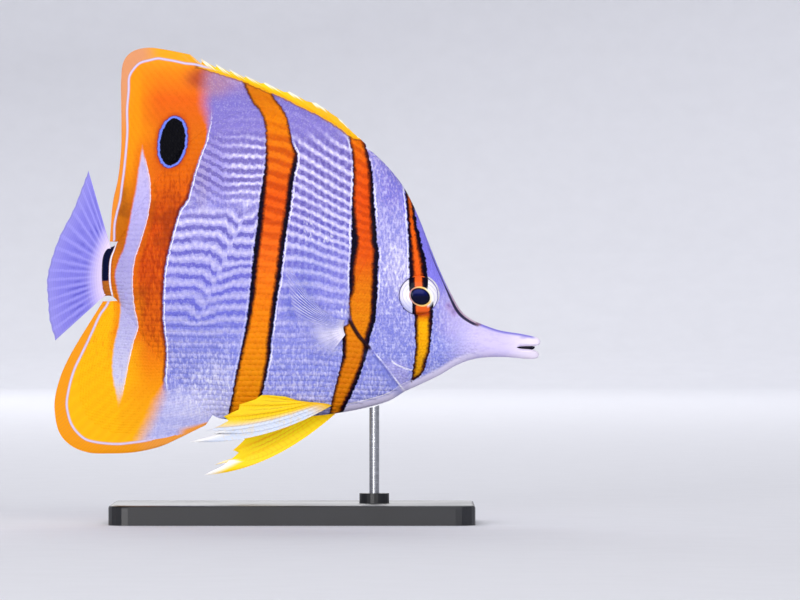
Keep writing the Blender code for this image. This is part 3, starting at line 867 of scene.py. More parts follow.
class ScaledSkin(Graph):
    """Living fish skin under small comb-edged scales.

    Pigment cells under clear scales give the colour, so it is deep and even,
    and reads nearly black in the dark edges. Silvery cells below make the
    ground a bright lavender.
    """

    ink = "#06021A"
    edge_white = "#EFEDFF"
    scale_length = 1.65
    bead_pitch = 2.0
    scallop_pitch = 4.8
    rear_pitch = 3.7
    front_pitch = 3.9
    lowest, highest = -60, 70
    patches = (
        Patch((31.5, 1), (5.5, 11), "#D6D0F2", 0.75),
        Patch((-30, -40.5), (16, 7), "#D2D2F8", 0.85),
        Patch((-12, -43), (14, 4), "#CFCBF4", 0.6),
        Patch((-2, -43.5), (9, 2.6), "#C9B9D6", 0.7),
        Patch((14, -20), (8, 8), "#C6CAF8", 0.5),
        Patch((5, 1), (8, 10), "#8A90DA", 0.6),
        Patch((2, -9), (7, 10), "#7480DA", 0.65),
        Patch((3, 18), (7, 8), "#8D80CC", 0.5),
        Patch((-23, -32), (9, 6), "#D2D3F8", 0.75),
        Patch((-25, 56.5), (10, 6), "#B0809C", 0.9),
        Patch((30, 27), (5, 14), "#8C80D8", 0.8),
        Patch((-22, 28), (9, 12), "#A297E0", 0.7),
        Patch((-27.5, 26), (3, 12), "#B4A2B8", 0.35),
        Patch((45, -22), (6, 7), "#9BA0E8", 0.6),
        Patch((46, -9), (4, 5), "#9084DC", 0.7),
        Patch((47, -16.5), (5, 6), "#A99BDE", 0.55),
        Patch((29.5, 24), (4, 7), "#8A7ED6", 0.4),
    )

    def __init__(self) -> None:
        """Starts the material and reads the vertices' numbers."""
        super().__init__("wet scaled fish skin")
        add = self.add
        x, _, z = self.parts(self.place)
        self.x = add("MULTIPLY_ADD", x, 1 / MM, 0)
        self.z = add("MULTIPLY_ADD", z, 1 / MM, -BODY_HEIGHT)
        self.height = add("MapRange", self.z, self.lowest, self.highest)
        self.fine, self.coarse = self.noise(900), self.noise(110, 3, 0.5)
        self.jag = add("MapRange", self.fine, 0.25, 0.75, -0.34, 0.34)
        self.sway = add("MapRange", self.coarse, 0.25, 0.75, -1, 1)
        self.row, self.ahead, head = self.split("lie")
        self.on_head, self.mouth = add("MINIMUM", head, 1), add("SUBTRACT", head, 1)
        self.u, self.phase, self.depth = self.split("fin")
        self.rear, self.stripe, self.spot = self.split("rear")
        self.lilac, self.spine, self.bar = self.split("edges")
        self.near_rear, self.behind, self.belly = self.split("sides")
        self.tail, self.cheek, self.gill = self.split("tail")
        self.shade = self.by_height(
            (-48, "#BCBEF0"), (-40, "#A4A7E6"), (-28, "#9196DE"), (-10, "#A09FE2"),
            (12, "#AFAAE6"), (35, "#A79CDC"), (42, "#8A7DCC"), (52, "#8074C8"), (62, "#BE94BC"))

    def by_height(self, *stops: tuple[float, str | float]) -> Socket:
        """A ramp of hex codes or strengths, each at a height in mm."""
        return self.add("ValToRGB", self.height, stops=[
            ((z - self.lowest) / (self.highest - self.lowest),
             colour(tint) if isinstance(tint, str) else (tint, tint, tint, 1))
            for z, tint in stops])

    def oval(self, x: float, z: float, across: float, up: float) -> Socket:
        """A soft mask over an oval at x, z in mm with these half sizes."""
        near = self.add("Mapping", self.place, (-x / across, 0, -(z + BODY_HEIGHT) / up),
                        (0, 0, 0), (1 / across / MM, 0, 1 / up / MM))
        away = self.add("VectorMath", near, operation="LENGTH", out="Value")
        return self.fade(self.add("MULTIPLY_ADD", self.sway, 0.12, away), 1.1, 0.25)

    def rows(self) -> None:
        """Works out where the dark and pale rows of scales lie, and their beads."""
        add, fade = self.add, self.fade
        self.centre = add("MULTIPLY_ADD", self.z, -0.14, self.x)
        self.front = self.zone(centre=(-9.4, -6.4))
        self.wavy_zone = self.zone(x=(-9, -13), z=(-19, -13, 16, 22))
        # Behind the middle band rows drop from scale to scale, break off and rise again
        stair = add("FLOOR", add("DIVIDE", self.ahead, self.scale_length))
        stair = add("MULTIPLY_ADD", stair, self.scale_length, 0.82)
        stair = add("MULTIPLY_ADD", add("SUBTRACT", stair, self.ahead), 0.35, self.x)
        past = add("MULTIPLY_ADD", self.z, -0.42, add("ADD", stair, 21.8))
        drop = add("ADD", fade(past, -5.8, 0.2, 3), fade(past, -0.1, 0.1, -1.2))
        rise = self.zone(fade(past, 0.5, 7, -1.9), z=(4, -1))
        level = add("MULTIPLY_ADD", add("ADD", drop, rise), self.wavy_zone, self.row)
        self.break_line = self.zone(self.line(past, 0.45), self.wavy_zone)
        slant = add("MULTIPLY", add("MINIMUM", add("ADD", stair, 21), 0), 0.6)
        level = add("MULTIPLY_ADD", slant, self.zone(z=(17, 21)), level)
        level = add("MULTIPLY_ADD", self.sway, 0.7, level)
        scallop = add("ABSOLUTE", self.wave(self.ahead, self.scallop_pitch))
        level = add("MULTIPLY_ADD", scallop, 0.34, level)
        level = add("MULTIPLY_ADD", self.jag, 0.9, level)
        upper = add("MULTIPLY", add("MAXIMUM", add("SUBTRACT", level, 17), 0), 0.08)
        behind = add("MULTIPLY_ADD", level, 1 / self.rear_pitch, upper)
        ahead = add("MULTIPLY", level, 1 / self.front_pitch)
        cycle = add("FRACT", add("Mix", self.front, behind, ahead, at=(0, 2, 3)))
        self.cycle = add("ABSOLUTE", add("SUBTRACT", cycle, 0.5))
        uneven = add("MULTIPLY_ADD", self.sway, 0.5, self.ahead)
        uneven = add("MULTIPLY_ADD", self.jag, 1, uneven)
        self.bead = add("MapRange", self.wave(uneven, self.bead_pitch), -0.3, 0.9)
        slope = add("ADD", add("MULTIPLY_ADD", self.x, 0.22, self.z), self.jag)
        slope = add("MULTIPLY_ADD", self.sway, 0.9, slope)
        slope = add("FRACT", add("DIVIDE", slope, self.rear_pitch))
        self.straight = add("ABSOLUTE", add("SUBTRACT", slope, 0.5))

    def ground(self) -> None:
        """Paints the silvery lavender ground, its rows, speckles, patches and painted glints."""
        add, zone, lay = self.add, self.zone, self.lay
        for patch in self.patches:
            lay(self.oval(*patch.middle, *patch.reach), patch.tint, patch.strength)

        strength = self.blend(
            self.front,
            self.by_height((-30, 0), (-21, 0.35), (-15, 0.95), (15, 0.9), (19, 0.4), (23, 0.55),
                           (27, 0.85), (39, 0.75), (43, 0.1), (50, 0)),
            self.by_height((-34, 0), (-20, 0.3), (-8, 0.6), (5, 0.85), (12, 1), (38, 1),
                           (43, 0.15), (50, 0)))
        body = add("SUBTRACT", 1, self.on_head)
        patchy = add("MULTIPLY_ADD", zone(coarse=(0.28, 0.45)), 0.4, 0.6)
        thick = add("MULTIPLY_ADD", self.wavy_zone, -0.06, 0.31)
        thick = add("MULTIPLY_ADD", self.jag, 0.12, thick)
        dark = add("Soft", self.cycle, thick, add("SUBTRACT", thick, 0.15))
        dashes = add("MapRange", self.bead, 0, 1, 1, 0.55)
        dark = zone(dark, strength, body, patchy, add("SUBTRACT", 1, self.break_line),
                    add("Mix", self.front, 1, dashes, at=(0, 2, 3)))
        lay(dark, self.by_height((-30, "#6C76D6"), (-5, "#615FCC"), (10, "#5F58B8"),
                                 (26, "#6354A6"), (40, "#6C5EB0")))
        bright = self.by_height((-44, 0.3), (-20, 0.3), (0, 0.4), (12, 0.8), (22, 1), (37, 1),
                                (42, 0.1))
        beads = add("MULTIPLY_ADD", self.bead, 0.45, 0.55)
        ahead_or_low = add("MAXIMUM", zone(x=(-23, -16)), zone(z=(20, 16)))
        lay(zone(beads, bright, body, patchy, ahead_or_low, cycle=(0.28, 0.44)), "#F0E9FE")

        # Upright streaks, dark and pale, where the rows fade into speckles
        self.streaks = self.noise((1500, 900, 620), 2)
        speckled = add("MapRange", strength, 0, 0.7, 0.55, 0.1)
        speckled = add("MAXIMUM", speckled, add("MULTIPLY", self.on_head, 0.5))
        smooth_top = add("MULTIPLY_ADD", zone(z=(43, 39)), 0.88, 0.12)
        low_rear = add("MAXIMUM", self.fade(self.z, -42, -32, 0.7), self.front)
        low_rear = add("ADD", low_rear, 0.3, use_clamp=True)
        speckled = zone(speckled, smooth_top, low_rear, x=(53, 43))
        lay(zone(speckled, streaks=(0.47, 0.6)), "#626CD2")
        lay(zone(speckled, streaks=(0.47, 0.36)), "#D6D6FC")
        # Fine dark speckles, and pale specks that are painted glints where the scales catch the light
        self.glint = self.noise(2100, 1, 0.5)
        lay(zone(glint=(0.46, 0.36)), "#7F78CE", 0.16)
        lay(zone(glint=(0.55, 0.66)), "#F2EDFF", 0.14)
        # Painted glints: white upright strokes where the skin sparkles in the light
        for glow in ((31, -2, 6, 16), (9, 12, 9, 7), (-24, -38, 13, 9), (15, -12.5, 3, 3)):
            lay(zone(self.oval(*glow), streaks=(0.44, 0.34)), "#FFFFFF", 0.5)
        lay(zone(add("MapRange", self.wave(self.ahead, 0.56), -1, 1), body), "#8A84CC", 0.1)

    def head(self) -> None:
        """Tints the snout, the throat's pale rim and the nostrils, and paints a little shade on the upper
        jaw.
        """
        add, zone, lay = self.add, self.zone, self.lay
        slanted = add("MULTIPLY_ADD", self.z, 0.22, self.x)
        lay(self.fade(slanted, 38, 54), "#DCD0F9", 0.95)
        lay(zone(depth=(5, 3), x=(31, 35), z=(-10, -2)), "#7F77EC", 0.85)
        lay(zone(belly=(2.6, 1.4), x=(10, 18, 50, 60)), "#E8E0FF")
        lay(zone(x=(62, 73)), "#F8EEFD", 0.8)
        # Painted shade: a small darker oval on the upper jaw
        lay(self.oval(69.8, -20.4, 1.7, 0.7), "#A79AE0", 0.5)
        line = self.line(add("SUBTRACT", self.belly, 2.3), 0.16)
        lay(zone(line, x=(12, 20, 32, 40)), "#F6F0FF", 0.8)
        for nostril in BODY.nostrils:
            lay(self.oval(*nostril, 1.7, 1.7), "#B48AC8", 0.4)
        self.grained = self.noise((350, 900, 900))
        lay(zone(grained=(0.46, 0.62), x=(44, 50, 60, 72)), "#A99AE6", 0.22)
        lay(zone(depth=(1.1, 0.2), x=(54, 57, 72, 74)), "#6E66DC", 0.85)

    def rear_band(self) -> None:
        """Paints the wide orange band behind, and the fins that it runs over."""
        add, zone, lay = self.add, self.zone, self.lay
        crisp = zone(z=(-40, -32, 40, 50))
        edge = add("MULTIPLY_ADD", crisp, -1.7, add("ADD", self.rear, 1.95))
        edge = add("MULTIPLY_ADD", self.jag, 0.7, edge)
        ground, self.shade = self.shade, self.by_height(
            (-52, "#FFB40C"), (-40, "#FDA60E"), (-30, "#F48A0A"), (-18, "#DC6410"),
            (0, "#CC4A0E"), (16, "#D6500F"), (28, "#E2660E"), (40, "#DE6C0E"), (52, "#EC6614"),
            (60, "#FB8A16"), (66, "#F9A81E"))
        above, below = zone(z=(0, 6)), zone(z=(-2, -14))
        self.inside = add("MULTIPLY_ADD", self.sway, 1.5, self.rear)
        lay(zone(above, inside=(12, 24)), "#FF960E")
        lay(zone(below, inside=(4, 13)), "#FFB40C")
        lay(zone(above, behind=(-0.5, 1.5)), "#F9960E", 0.9)
        lay(zone(below, behind=(-1, 0.8)), "#FFB70A")
        self.fibres = self.noise((1300, 900, 420), 2)
        on_body = zone(behind=(-3.5, -5.5), u=(0.04, 0))
        lay(zone(on_body, fibres=(0.48, 0.62), z=(-34, -18, 24, 36)), "#A02E08", 0.5)
        lay(zone(fibres=(0.46, 0.34), z=(-34, -20, 24, 36)), "#F0700E", 0.4)
        lay(zone(stripe=(-2.6, -0.6, -0.4, 0.4), z=(-30, -18, 34, 42)), "#E8740C", 0.6)
        lay(zone(on_body, coarse=(0.48, 0.66), z=(-30, -15, 15, 30)), "#9C380E", 0.7)
        amber = zone(behind=(-0.2, 0.6), z=(-8, -4, 16, 34))
        lay(amber, "#B65E08", 0.75)
        lay(zone(amber, coarse=(0.45, 0.62)), "#964A0C", 0.8)
        lay(self.oval(-27.5, 58, 7.5, 5), "#B0442A", 0.85)
        rays = add("MULTIPLY_ADD", self.wave(self.phase, 1), 0.035, 1)
        self.multiply(self.blend(zone(u=(0.1, 0.6)), "#FFFFFF", rays))
        lay(zone(self.fade(edge, 1.3, 0.3), crisp, z=(38, 22)), "#5A1420", 0.85)
        band, self.shade = self.shade, ground
        width = add("MapRange", crisp, 0, 1, 4.5, 0.35)
        lay(add("Soft", edge, add("MULTIPLY", width, -0.35), width), band)
        white = self.line(add("ADD", edge, 0.33), 0.17, 0.95)
        self.white = zone(white, crisp, fine=(0.3, 0.45))

    def stripe_behind(self) -> None:
        """Lays the lavender stripe over the wide band."""
        add, zone = self.add, self.zone
        self.inner = add("MULTIPLY_ADD", self.jag, 0.5, self.stripe)
        self.inner = add("MULTIPLY_ADD", zone(z=(27, 43)), -0.75, self.inner)
        tint = self.by_height((-40, "#DAD8EA"), (-20, "#BDBAE6"), (0, "#AAA3D8"),
                              (20, "#BEB6EE"), (36, "#D0C3E8"))
        ends = zone(z=(-43, -33, 35, 43))
        self.lay(zone(ends, inner=(-0.3, 0.5)), tint)
        self.lay(zone(ends, inner=(0.3, 0.9), fine=(0.5, 0.65)), "#9A90D8", 0.35)
        white = zone(self.line(self.inner, 0.15, 0.75), ends, behind=(-1.4, -2.4))
        self.white = add("MAXIMUM", self.white, white)

    def bands(self) -> None:
        """Paints the three bands: ink-dark edges, orange that turns amber below."""
        add, zone, lay = self.add, self.zone, self.lay
        whole, middle = self.split("bands"), self.split("middles")
        eye, gill, centre = range(len(BANDS))
        tints = (
            ((-34, "#D69410"), (-27, "#E4A00C"), (-22, "#F8AE06"), (-16, "#FFB608"),
             (-14.8, "#F09406"), (-13.6, "#B84410"), (-9, "#F05C1A"), (6, "#FF6A18"),
             (16, "#EC6210"), (30, "#C85E10")),
            ((-46, "#DA7E06"), (-28, "#DA7A08"), (-14, "#E8860A"), (-4, "#E67A0C"),
             (4, "#E85A10"), (22, "#EC5412"), (32, "#F0600F"), (40, "#EE7A0C")),
            ((-46, "#E08A04"), (-30, "#EC8E0A"), (-14, "#F6880C"), (6, "#F8701A"),
             (22, "#EE5C12"), (34, "#F07612"), (46, "#EE8404"), (56, "#D87A0C")),
        )
        tier_curve = self.by_height((-20, 0.12), (0, 0.3), (14, 0.9), (38, 0.9), (46, 0.2))
        edge_tint = self.blend(zone(z=(30, 44)), self.ink, "#5A2030")
        covered = 0
        for k, tier in zip((eye, gill, centre), (0.12, 0.6, 0.7)):
            outer = add("ADD", whole[k], self.jag)
            inner = add("ADD", middle[k], self.jag)
            inner = add("MULTIPLY_ADD", zone(z=(32, 42)), 0.35, inner)
            white = self.line(add("ADD", outer, 0.3), 0.2, 0.9)
            tiered = self.cycle
            if k == eye:
                wider = add("MULTIPLY_ADD", inner, 0.7, 0.35)
                inner = add("MULTIPLY_ADD", wider, zone(z=(6, 12)), inner)
                white = zone(white, near_rear=(0.3, -0.3), z=(-9, -4))
            elif k == gill:
                white = zone(white, z=(-14, -4))
            else:
                white = zone(white, add("MapRange", self.centre, -8.4, -7.4, 0.35, 1))
                tiered = self.straight
            white = zone(white, coarse=(0.36, 0.54), z=(-42, -24, 35, 44))
            self.white = add("MAXIMUM", self.white, white)
            covered = add("MAXIMUM", covered, self.fade(outer, -0.1, 0.2))
            lay(self.fade(outer, -0.05, 0.25), edge_tint)
            ground, self.shade = self.shade, self.by_height(*tints[k])
            lay(zone(self.fade(tiered, 0.38, 0.1), tier_curve), "#B83808", tier)
            lay(zone(fine=(0.45, 0.7)), "#C84A0A", 0.22)
            band, self.shade = self.shade, ground
            lay(self.fade(inner, -0.5, 0.35), "#4A1606")
            lay(self.fade(inner, -0.05, 1.05), band)
        self.white = zone(self.white, add("SUBTRACT", 1, covered))

    def bones(self) -> None:
        """Draws the gill cover's edge with painted shade along and behind it, and the pale bone edges of
        the cheek.
        """
        add, zone, lay = self.add, self.zone, self.lay

        def rim(shift: float, half: float) -> Socket:
            return self.line(add("SUBTRACT", self.gill, shift), half)

        # Painted shade: a thin bluish dark line along the gill cover's edge
        lay(zone(rim(0.25, 0.3), z=(-38, -35, -15, -13)), "#6F6BC0", 0.45)
        thick = zone(rim(0.1, 0.62), z=(-24.6, -23.6, -16, -13.5), x=(24.2, 23.2))
        lay(thick, "#200A08", 0.95)
        # Painted shade: a bluish strip just behind the lower edge of the gill cover
        lay(zone(gill=(-4, -0.6, -0.3, 0.2), z=(-24, -27), x=(20, 24)), "#7C84D8", 0.55)
        lay(zone(gill=(0.2, 1, 3.5, 7), z=(-26, -29), x=(36, 34.5)), "#B2A8E0", 0.5)
        bright = add("MAXIMUM", zone(z=(-28, -26.5)), zone(z=(-31, -34)))
        bright = add("MULTIPLY_ADD", bright, 0.55, 0.32)
        edge = zone(rim(0.55, 0.22), bright, z=(-38, -35.5, -26.5, -24.5))
        edge = add("MAXIMUM", edge, self.line(self.cheek, 0.24, 0.9))
        lay(add("MAXIMUM", self.white, edge), self.edge_white)

    def fins(self) -> None:
        """Paints the yellow spine band, the fins' rims and the lilac line."""
        add, zone, lay = self.add, self.zone, self.lay
        yellow = add("MULTIPLY_ADD", self.jag, 0.8, self.spine)
        self.yellow = add("MINIMUM", yellow, add("MULTIPLY_ADD", self.x, 0.3, 8.6))
        lay(zone(yellow=(-0.5, -0.1)), "#8A4A18", 0.7)
        lay(zone(yellow=(-0.15, 0.35)), "#FFBC12")
        lay(zone(fine=(0.48, 0.62), yellow=(0, 0.5, 1, 2.4)), "#E0900C", 0.4)
        lay(zone(yellow=(0.4, 1.4)), self.blend(zone(x=(-6, 10)), "#FFD922", "#F4BC2A"), 0.8)
        self.crest = add("MapRange", self.wave(self.phase, 1), -0.2, 1)
        lay(zone(u=(0.76, 0.93), spine=(0.3, 0.9), crest=(0.1, 0.6), x=(-35, -31)), "#FFFBE4")
        on_fin, upper = zone(u=(0.12, 0.3)), zone(z=(-1, 1))
        outside = add("MAXIMUM", zone(x=(-26, -31)), zone(z=(0, -1)))
        outside = zone(outside, on_fin, lilac=(0, 0.5))
        outside = add("MAXIMUM", outside, zone(z=(-40, -42), x=(-36, -32), u=(0.55, 0.8)))
        salmon = self.fade(add("MULTIPLY_ADD", self.sway, 1.5, self.x), -47, -40)
        salmon = self.blend(salmon, "#E29B70", "#F9AC1C")
        salmon = self.blend(zone(z=(36, 56)), "#F0902A", salmon)
        lay(outside, self.blend(upper, "#F2990E", salmon), 0.95)
        lay(zone(self.fade(self.wave(self.phase, 0.25), 0, 1), outside), "#D8843C", 0.3)
        broken = self.fade(add("MULTIPLY_ADD", upper, -16, self.x), -44, -50)
        broken = add("MAXIMUM", broken, zone(coarse=(0.4, 0.5)))
        lay(zone(self.line(self.lilac, 0.42), on_fin, broken), "#B08AA0", 0.5)
        lay(zone(self.line(self.lilac, 0.27), on_fin, broken), "#D6CCF0", 0.95)

    def eyespot(self) -> None:
        """Paints the black eyespot with its blue ring and deeper halo."""
        self.ring = self.add("MULTIPLY_ADD", self.jag, 0.7, self.spot)
        self.lay(self.zone(ring=(2.6, 1)), "#C4480C", 0.75)
        self.lay(self.zone(ring=(1.3, 1)), "#4A2A5E", 0.8)
        self.lay(self.line(self.add("SUBTRACT", self.ring, 0.52), 0.34), "#6F86F4")
        self.lay(self.zone(ring=(0.34, 0.1)), "#010108")

    def stalk(self) -> None:
        """Paints the black bar of the tail stalk between pale lines."""
        add, zone, lay = self.add, self.zone, self.lay
        self.away = add("ABSOLUTE", self.z)
        here = zone(away=(12, 9.5), u=(0.04, 0))
        lay(zone(here, tail=(2.6, 2.2), z=(-2.8, -3.6), bar=(0.1, -0.2)), "#B4641E")
        front = self.line(add("SUBTRACT", self.tail, 2.55), 0.26, 0.95)
        lay(zone(here, front, away=(9.2, 8.4)), self.edge_white)
        lay(zone(here, bar=(-0.25, 0.15)), "#040A30")
        lay(zone(here, tail=(3.1, 3.5), behind=(0, 0.5)), "#D0701A", 0.85)

    def ridge(self) -> None:
        """Draws the dark line beside the forehead's ridge, and paints shade into the mouth."""
        add, zone, lay = self.add, self.zone, self.lay
        wide = zone(z=(-2, -12))
        centre, half = (add("MULTIPLY_ADD", wide, *v) for v in ((0.35, 0.5), (0.32, 0.1)))
        inner = add("SUBTRACT", centre, self.depth)
        dark = self.fade(add("DIVIDE", add("ABSOLUTE", inner), half), 1.3, 0.7)
        lay(zone(dark, x=(40, 43, 55.8, 56.6), z=(-17.5, -16.5)), "#140E34", 0.95)
        lay(zone(self.fade(inner, 0.3, 0.45), x=(44, 48, 55.5, 57)), "#C9A6B4", 0.7)
        lay(self.oval(56.2, -16.2, 1.3, 1), "#8A6474", 0.7)
        # Painted shade inside the mouth, where the lips turn in
        lay(zone(mouth=(0.3, 0.7)), "#1A1030", 0.95)

    def build(self) -> bpy.types.Material:
        """Paints every marking in turn.

        Returns:
            The material for skin and scales alike.
        """
        for paint in (self.rows, self.ground, self.head, self.rear_band, self.stripe_behind,
                      self.bands, self.bones, self.fins, self.eyespot, self.stalk, self.ridge):
            paint()
        along_scale, _, tone = self.split("scale")
        # Painted highlight: each scale's free rear edge is up to a tenth lighter; the tone also differs a
        # little at random
        lit_scale_edge = self.zone(self.fade(along_scale, 0.55, 1, 0.1), u=(0.08, 0))
        self.multiply(self.add("MULTIPLY_ADD", tone, 0.03, self.add("ADD", lit_scale_edge, 1)))
        return self.finish(Roughness=self.even(self.fine, 0.42, 0.58),
                           Normal=self.add("Bump", 0.1, 0.0002, self.fine),
                           Specular_IOR_Level=0.06)


@dataclass
class Skin:
    """One closed skin over head, body, jaws and the back and anal fins."""

    rows: int = 86
    stalk_columns: int = 16
    head_columns: int = 72
    snout_columns: int = 28
    jaw_columns: int = 26
    lip_rows: int = 5
    fin_rows: int = 28
    corner_x: float = 67.6
    corner_z: float = -23.43
    upper_jaw_tip: float = 74.95
    lower_jaw_tip: float = 74.5
    soft_per_ray: int = 6
    spiny_per_ray: int = 8
    upper_slit: Line = Line(((67.6, -23.43), (68.6, -23.2), (72.0, -23.1), (75.0, -23.2)))
    lower_slit: Line = Line(((67.6, -23.43), (68.6, -23.75), (72.0, -24.05), (75.0, -24.5)))

    def __post_init__(self) -> None:
        """Starts an empty mesh that keeps each vertex's place on its fin."""
        self.mesh = bmesh.new()
        self.fin_layer = self.mesh.verts.layers.float_vector.new("place")

    def patch(self, x, y, z, u=None, phase=None, head=None) -> None:
        """Adds a grid on the right side and its mirror image on the left.

        Args:
            x: Places in mm, one row of numbers for each column of the grid.
            y: Half thicknesses in mm.
            z: Places in mm.
            u: Shares of the way up a fin.
            phase: Which ray each point is on.
            head: 1 where a point belongs to the head.
        """
        columns, rows = x.shape
        zero = np.zeros(x.shape)
        extra = np.stack([zero if e is None else e + zero for e in (u, phase, head)], axis=-1)
        for side in Side:
            made = bmesh.ops.create_grid(
                self.mesh, x_segments=columns - 1, y_segments=rows - 1, size=0.5
            )["verts"]
            for vert in made:
                i = round((vert.co.x + 0.5) * (columns - 1))
                j = round((vert.co.y + 0.5) * (rows - 1))
                bent = bend_at(x[i, j], z[i, j])
                vert.co = world(x[i, j], side.value * y[i, j] + bent, z[i, j])
                vert[self.fin_layer] = extra[i, j]

    def fin_columns(self, fin: MiddleFin, per_ray: int):
        """Ray places across a fin, from its last ray to its first."""
        return ray_at(np.linspace(1, 0, fin.rays * per_ray + 1), fin.rays, fin.offset)

    def fin_patch(self, parts: list[tuple[MiddleFin, int]]) -> None:
        """Adds fins that join side by side, the rear one first."""
        u = np.linspace(0, 1, self.fin_rows + 1)
        u[-2] = 0.988
        pieces = []
        for k, (fin, per_ray) in enumerate(parts):
            v, moved, crest = self.fin_columns(fin, per_ray)
            closed = np.ones(len(v))
            if k == 0:
                closed[:3] = (0.0, 0.6, 0.9)
            if k == len(parts) - 1:
                closed[-3:] = (0.9, 0.6, 0.0)
            across = (v[:, None], moved[:, None], crest[:, None], closed[:, None])
            x, z, half = fin.place(u[None, :], *across)
            phase = v[:, None] * fin.rays + fin.offset
            pieces.append((x, half, z, u[None, :] + 0 * x, phase + 0 * x))
        x, half, z, share, phase = (np.concatenate(p) for p in zip(*pieces))
        self.patch(x, half, z, share, phase)

    def body_patch(self) -> None:
        """Adds the body from the tail stalk to the corner of the mouth."""
        soft = SOFT_FIN.root_x(self.fin_columns(SOFT_FIN, self.soft_per_ray)[0])
        spiny = SPINY_FIN.root_x(self.fin_columns(SPINY_FIN, self.spiny_per_ray)[0])
        anal = ANAL_FIN.root_x(self.fin_columns(ANAL_FIN, self.soft_per_ray)[0])
        gill = BODY.by_share(BODY.gill_edge)
        root = TAIL_ROOT
        low_gill, top_gill = gill.at(0.0), gill.at(1.0)
        stalk = np.linspace(0, 1, self.stalk_columns + 1) ** 1.4
        top = [mix(root.at(1.0), BODY.stalk_start, stalk), soft, spiny, [top_gill]]
        top = np.concatenate(top)
        low = np.concatenate([mix(root.at(0.0), BODY.stalk_start, stalk), anal])
        between = len(top) - len(low)
        low = np.concatenate([low, np.linspace(low[-1], low_gill, between + 1)[1:]])
        gill_column = len(top) - 1
        ahead = np.linspace(0, 1, self.head_columns + 1)
        beyond = np.linspace(BODY.head_end, self.corner_x, self.snout_columns + 1)[1:]
        top = np.concatenate([top, mix(top_gill + 0.05, BODY.head_end, ahead), beyond])
        low = np.concatenate([low, mix(low_gill + 0.05, BODY.head_end, ahead), beyond])
        bulge = step(-30, (low_gill + top_gill) / 2, (top + low) / 2)
        bulge[gill_column:gill_column + 2] = 1
        bulge[gill_column + 1:gill_column + 2 + self.head_columns] = 1 - ahead
        bulge[gill_column + 2 + self.head_columns:] = 0
        tail = np.zeros(len(top))
        tail[:self.stalk_columns + 1] = 1 - stalk

        v = np.linspace(0, 1, self.rows + 1)
        share = mix(v, 0.5 - 0.5 * np.cos(np.pi * v), 0.85)
        centre = mix(low, top, 0.5)
        s = share[None, :] + self.mouth_shift(share)[None, :] * step(57, 66, centre)[:, None]
        x = mix(low[:, None], top[:, None], s)
        x = x + bulge[:, None] * (gill.at(s) - mix(low_gill, top_gill, s))
        x = x + tail[:, None] * (root.at(s) - mix(root.at(0.0), root.at(1.0), s))
        z = mix(BODY.belly.at(x), BODY.back.at(x), s)
        # Two rings of corners follow the rim of the eye
        ring = BODY.eye_distance(x, z)
        snapped = np.where((ring > 4.9) & (ring < 5.75), 5.45, ring)
        snapped = np.where((ring >= 5.75) & (ring < 6.6), 6.05, snapped)
        moved = snapped / np.maximum(ring, 1)
        x = np.where(ring > 1, BODY.eye[0] + (x - BODY.eye[0]) * moved, x)
        z = np.where(ring > 1, BODY.eye[1] + (z - BODY.eye[1]) * moved, z)
        on_head = (np.arange(len(top)) > gill_column)[:, None] & np.ones(x.shape, bool)
        half = BODY.half(x, z)
        relief = BODY.relief(x.ravel(), z.ravel(), on_head.ravel()).reshape(x.shape)
        half = np.maximum(half + relief * step(0, 0.03, s) * step(1, 0.97, s), 0)
        half[0] = 0
        self.patch(x, half, z, head=on_head.astype(float))
        self.corner_rows = (x[-1], half[-1], z[-1])

    def mouth_row(self, share: np.ndarray) -> tuple[int, float]:
        """The row nearest to the mouth's corner, and the share it should have."""
        low, top = BODY.belly.at(self.corner_x), BODY.back.at(self.corner_x)
        target = (self.corner_z - low) / (top - low)
        return int(np.argmin(np.abs(share - target))), float(target)

    def mouth_shift(self, share: np.ndarray) -> np.ndarray:
        """How far rows move so that one of them meets the mouth's corner."""
        row, target = self.mouth_row(share)
        meets = [0.0, share[row], 1.0]
        return np.interp(share, meets, [0.0, target - share[row], 0.0])

    def jaw_patch(self, upper: bool) -> None:
        """Adds one jaw, with its lip and the inside of the mouth.

        Args:
            upper: Whether it is the upper jaw.
        """
        outer = BODY.back if upper else BODY.belly
        slit = self.upper_slit if upper else self.lower_slit
        tip = self.upper_jaw_tip if upper else self.lower_jaw_tip
        v = np.linspace(0, 1, self.rows + 1)
        share = mix(v, 0.5 - 0.5 * np.cos(np.pi * v), 0.85)
        row, _ = self.mouth_row(share)
        _, corner_half, corner_z = self.corner_rows
        rows = np.arange(row, self.rows + 1) if upper else np.arange(row, -1, -1)
        t = (corner_z[rows] - self.corner_z) / (corner_z[rows[-1]] - self.corner_z)

        ahead = np.sin(np.linspace(0, math.pi / 2, self.jaw_columns + 1))[:, None]
        x = mix(self.corner_x, tip, ahead)
        blunt = np.sqrt(np.maximum(1 - ahead**8, 0))
        near, far = slit.at(x), outer.at(x)
        middle = (near + far) / 2
        z = mix(near, far, t[None, :])
        free = step(self.corner_x, self.corner_x + 1.6, x)
        half = np.maximum(BODY.half(x + 0 * z, z), 0)
        half = mix(corner_half[rows][None, :], half, step(0, 0.3, ahead))
        lip = 1 - 0.55 * np.clip(1 - t / 0.3, 0, 1)[None, :] ** 2 * free
        swell = 0.16 * bump(t[None, :], 0.26, 0.25) * step(69, 72.5, x)
        half = (half * lip + swell) * blunt
        z = middle + (z - middle) * blunt

        w = np.linspace(1, 0, self.lip_rows + 1)[:-1][None, :]
        roof = np.sin(w * math.pi / 2) * 0.22 * free * (1 if upper else -1) * blunt
        inner_half = half[:, :1] * (1 - w)
        inner_z = z[:, :1] + roof
        x = x + 0 * np.concatenate([inner_z, z], axis=1)
        inside = np.concatenate([2 + 0 * inner_z, 1 + 0 * z], axis=1)
        self.patch(x, np.concatenate([inner_half, half], axis=1),
                   np.concatenate([inner_z, z], axis=1), head=inside)

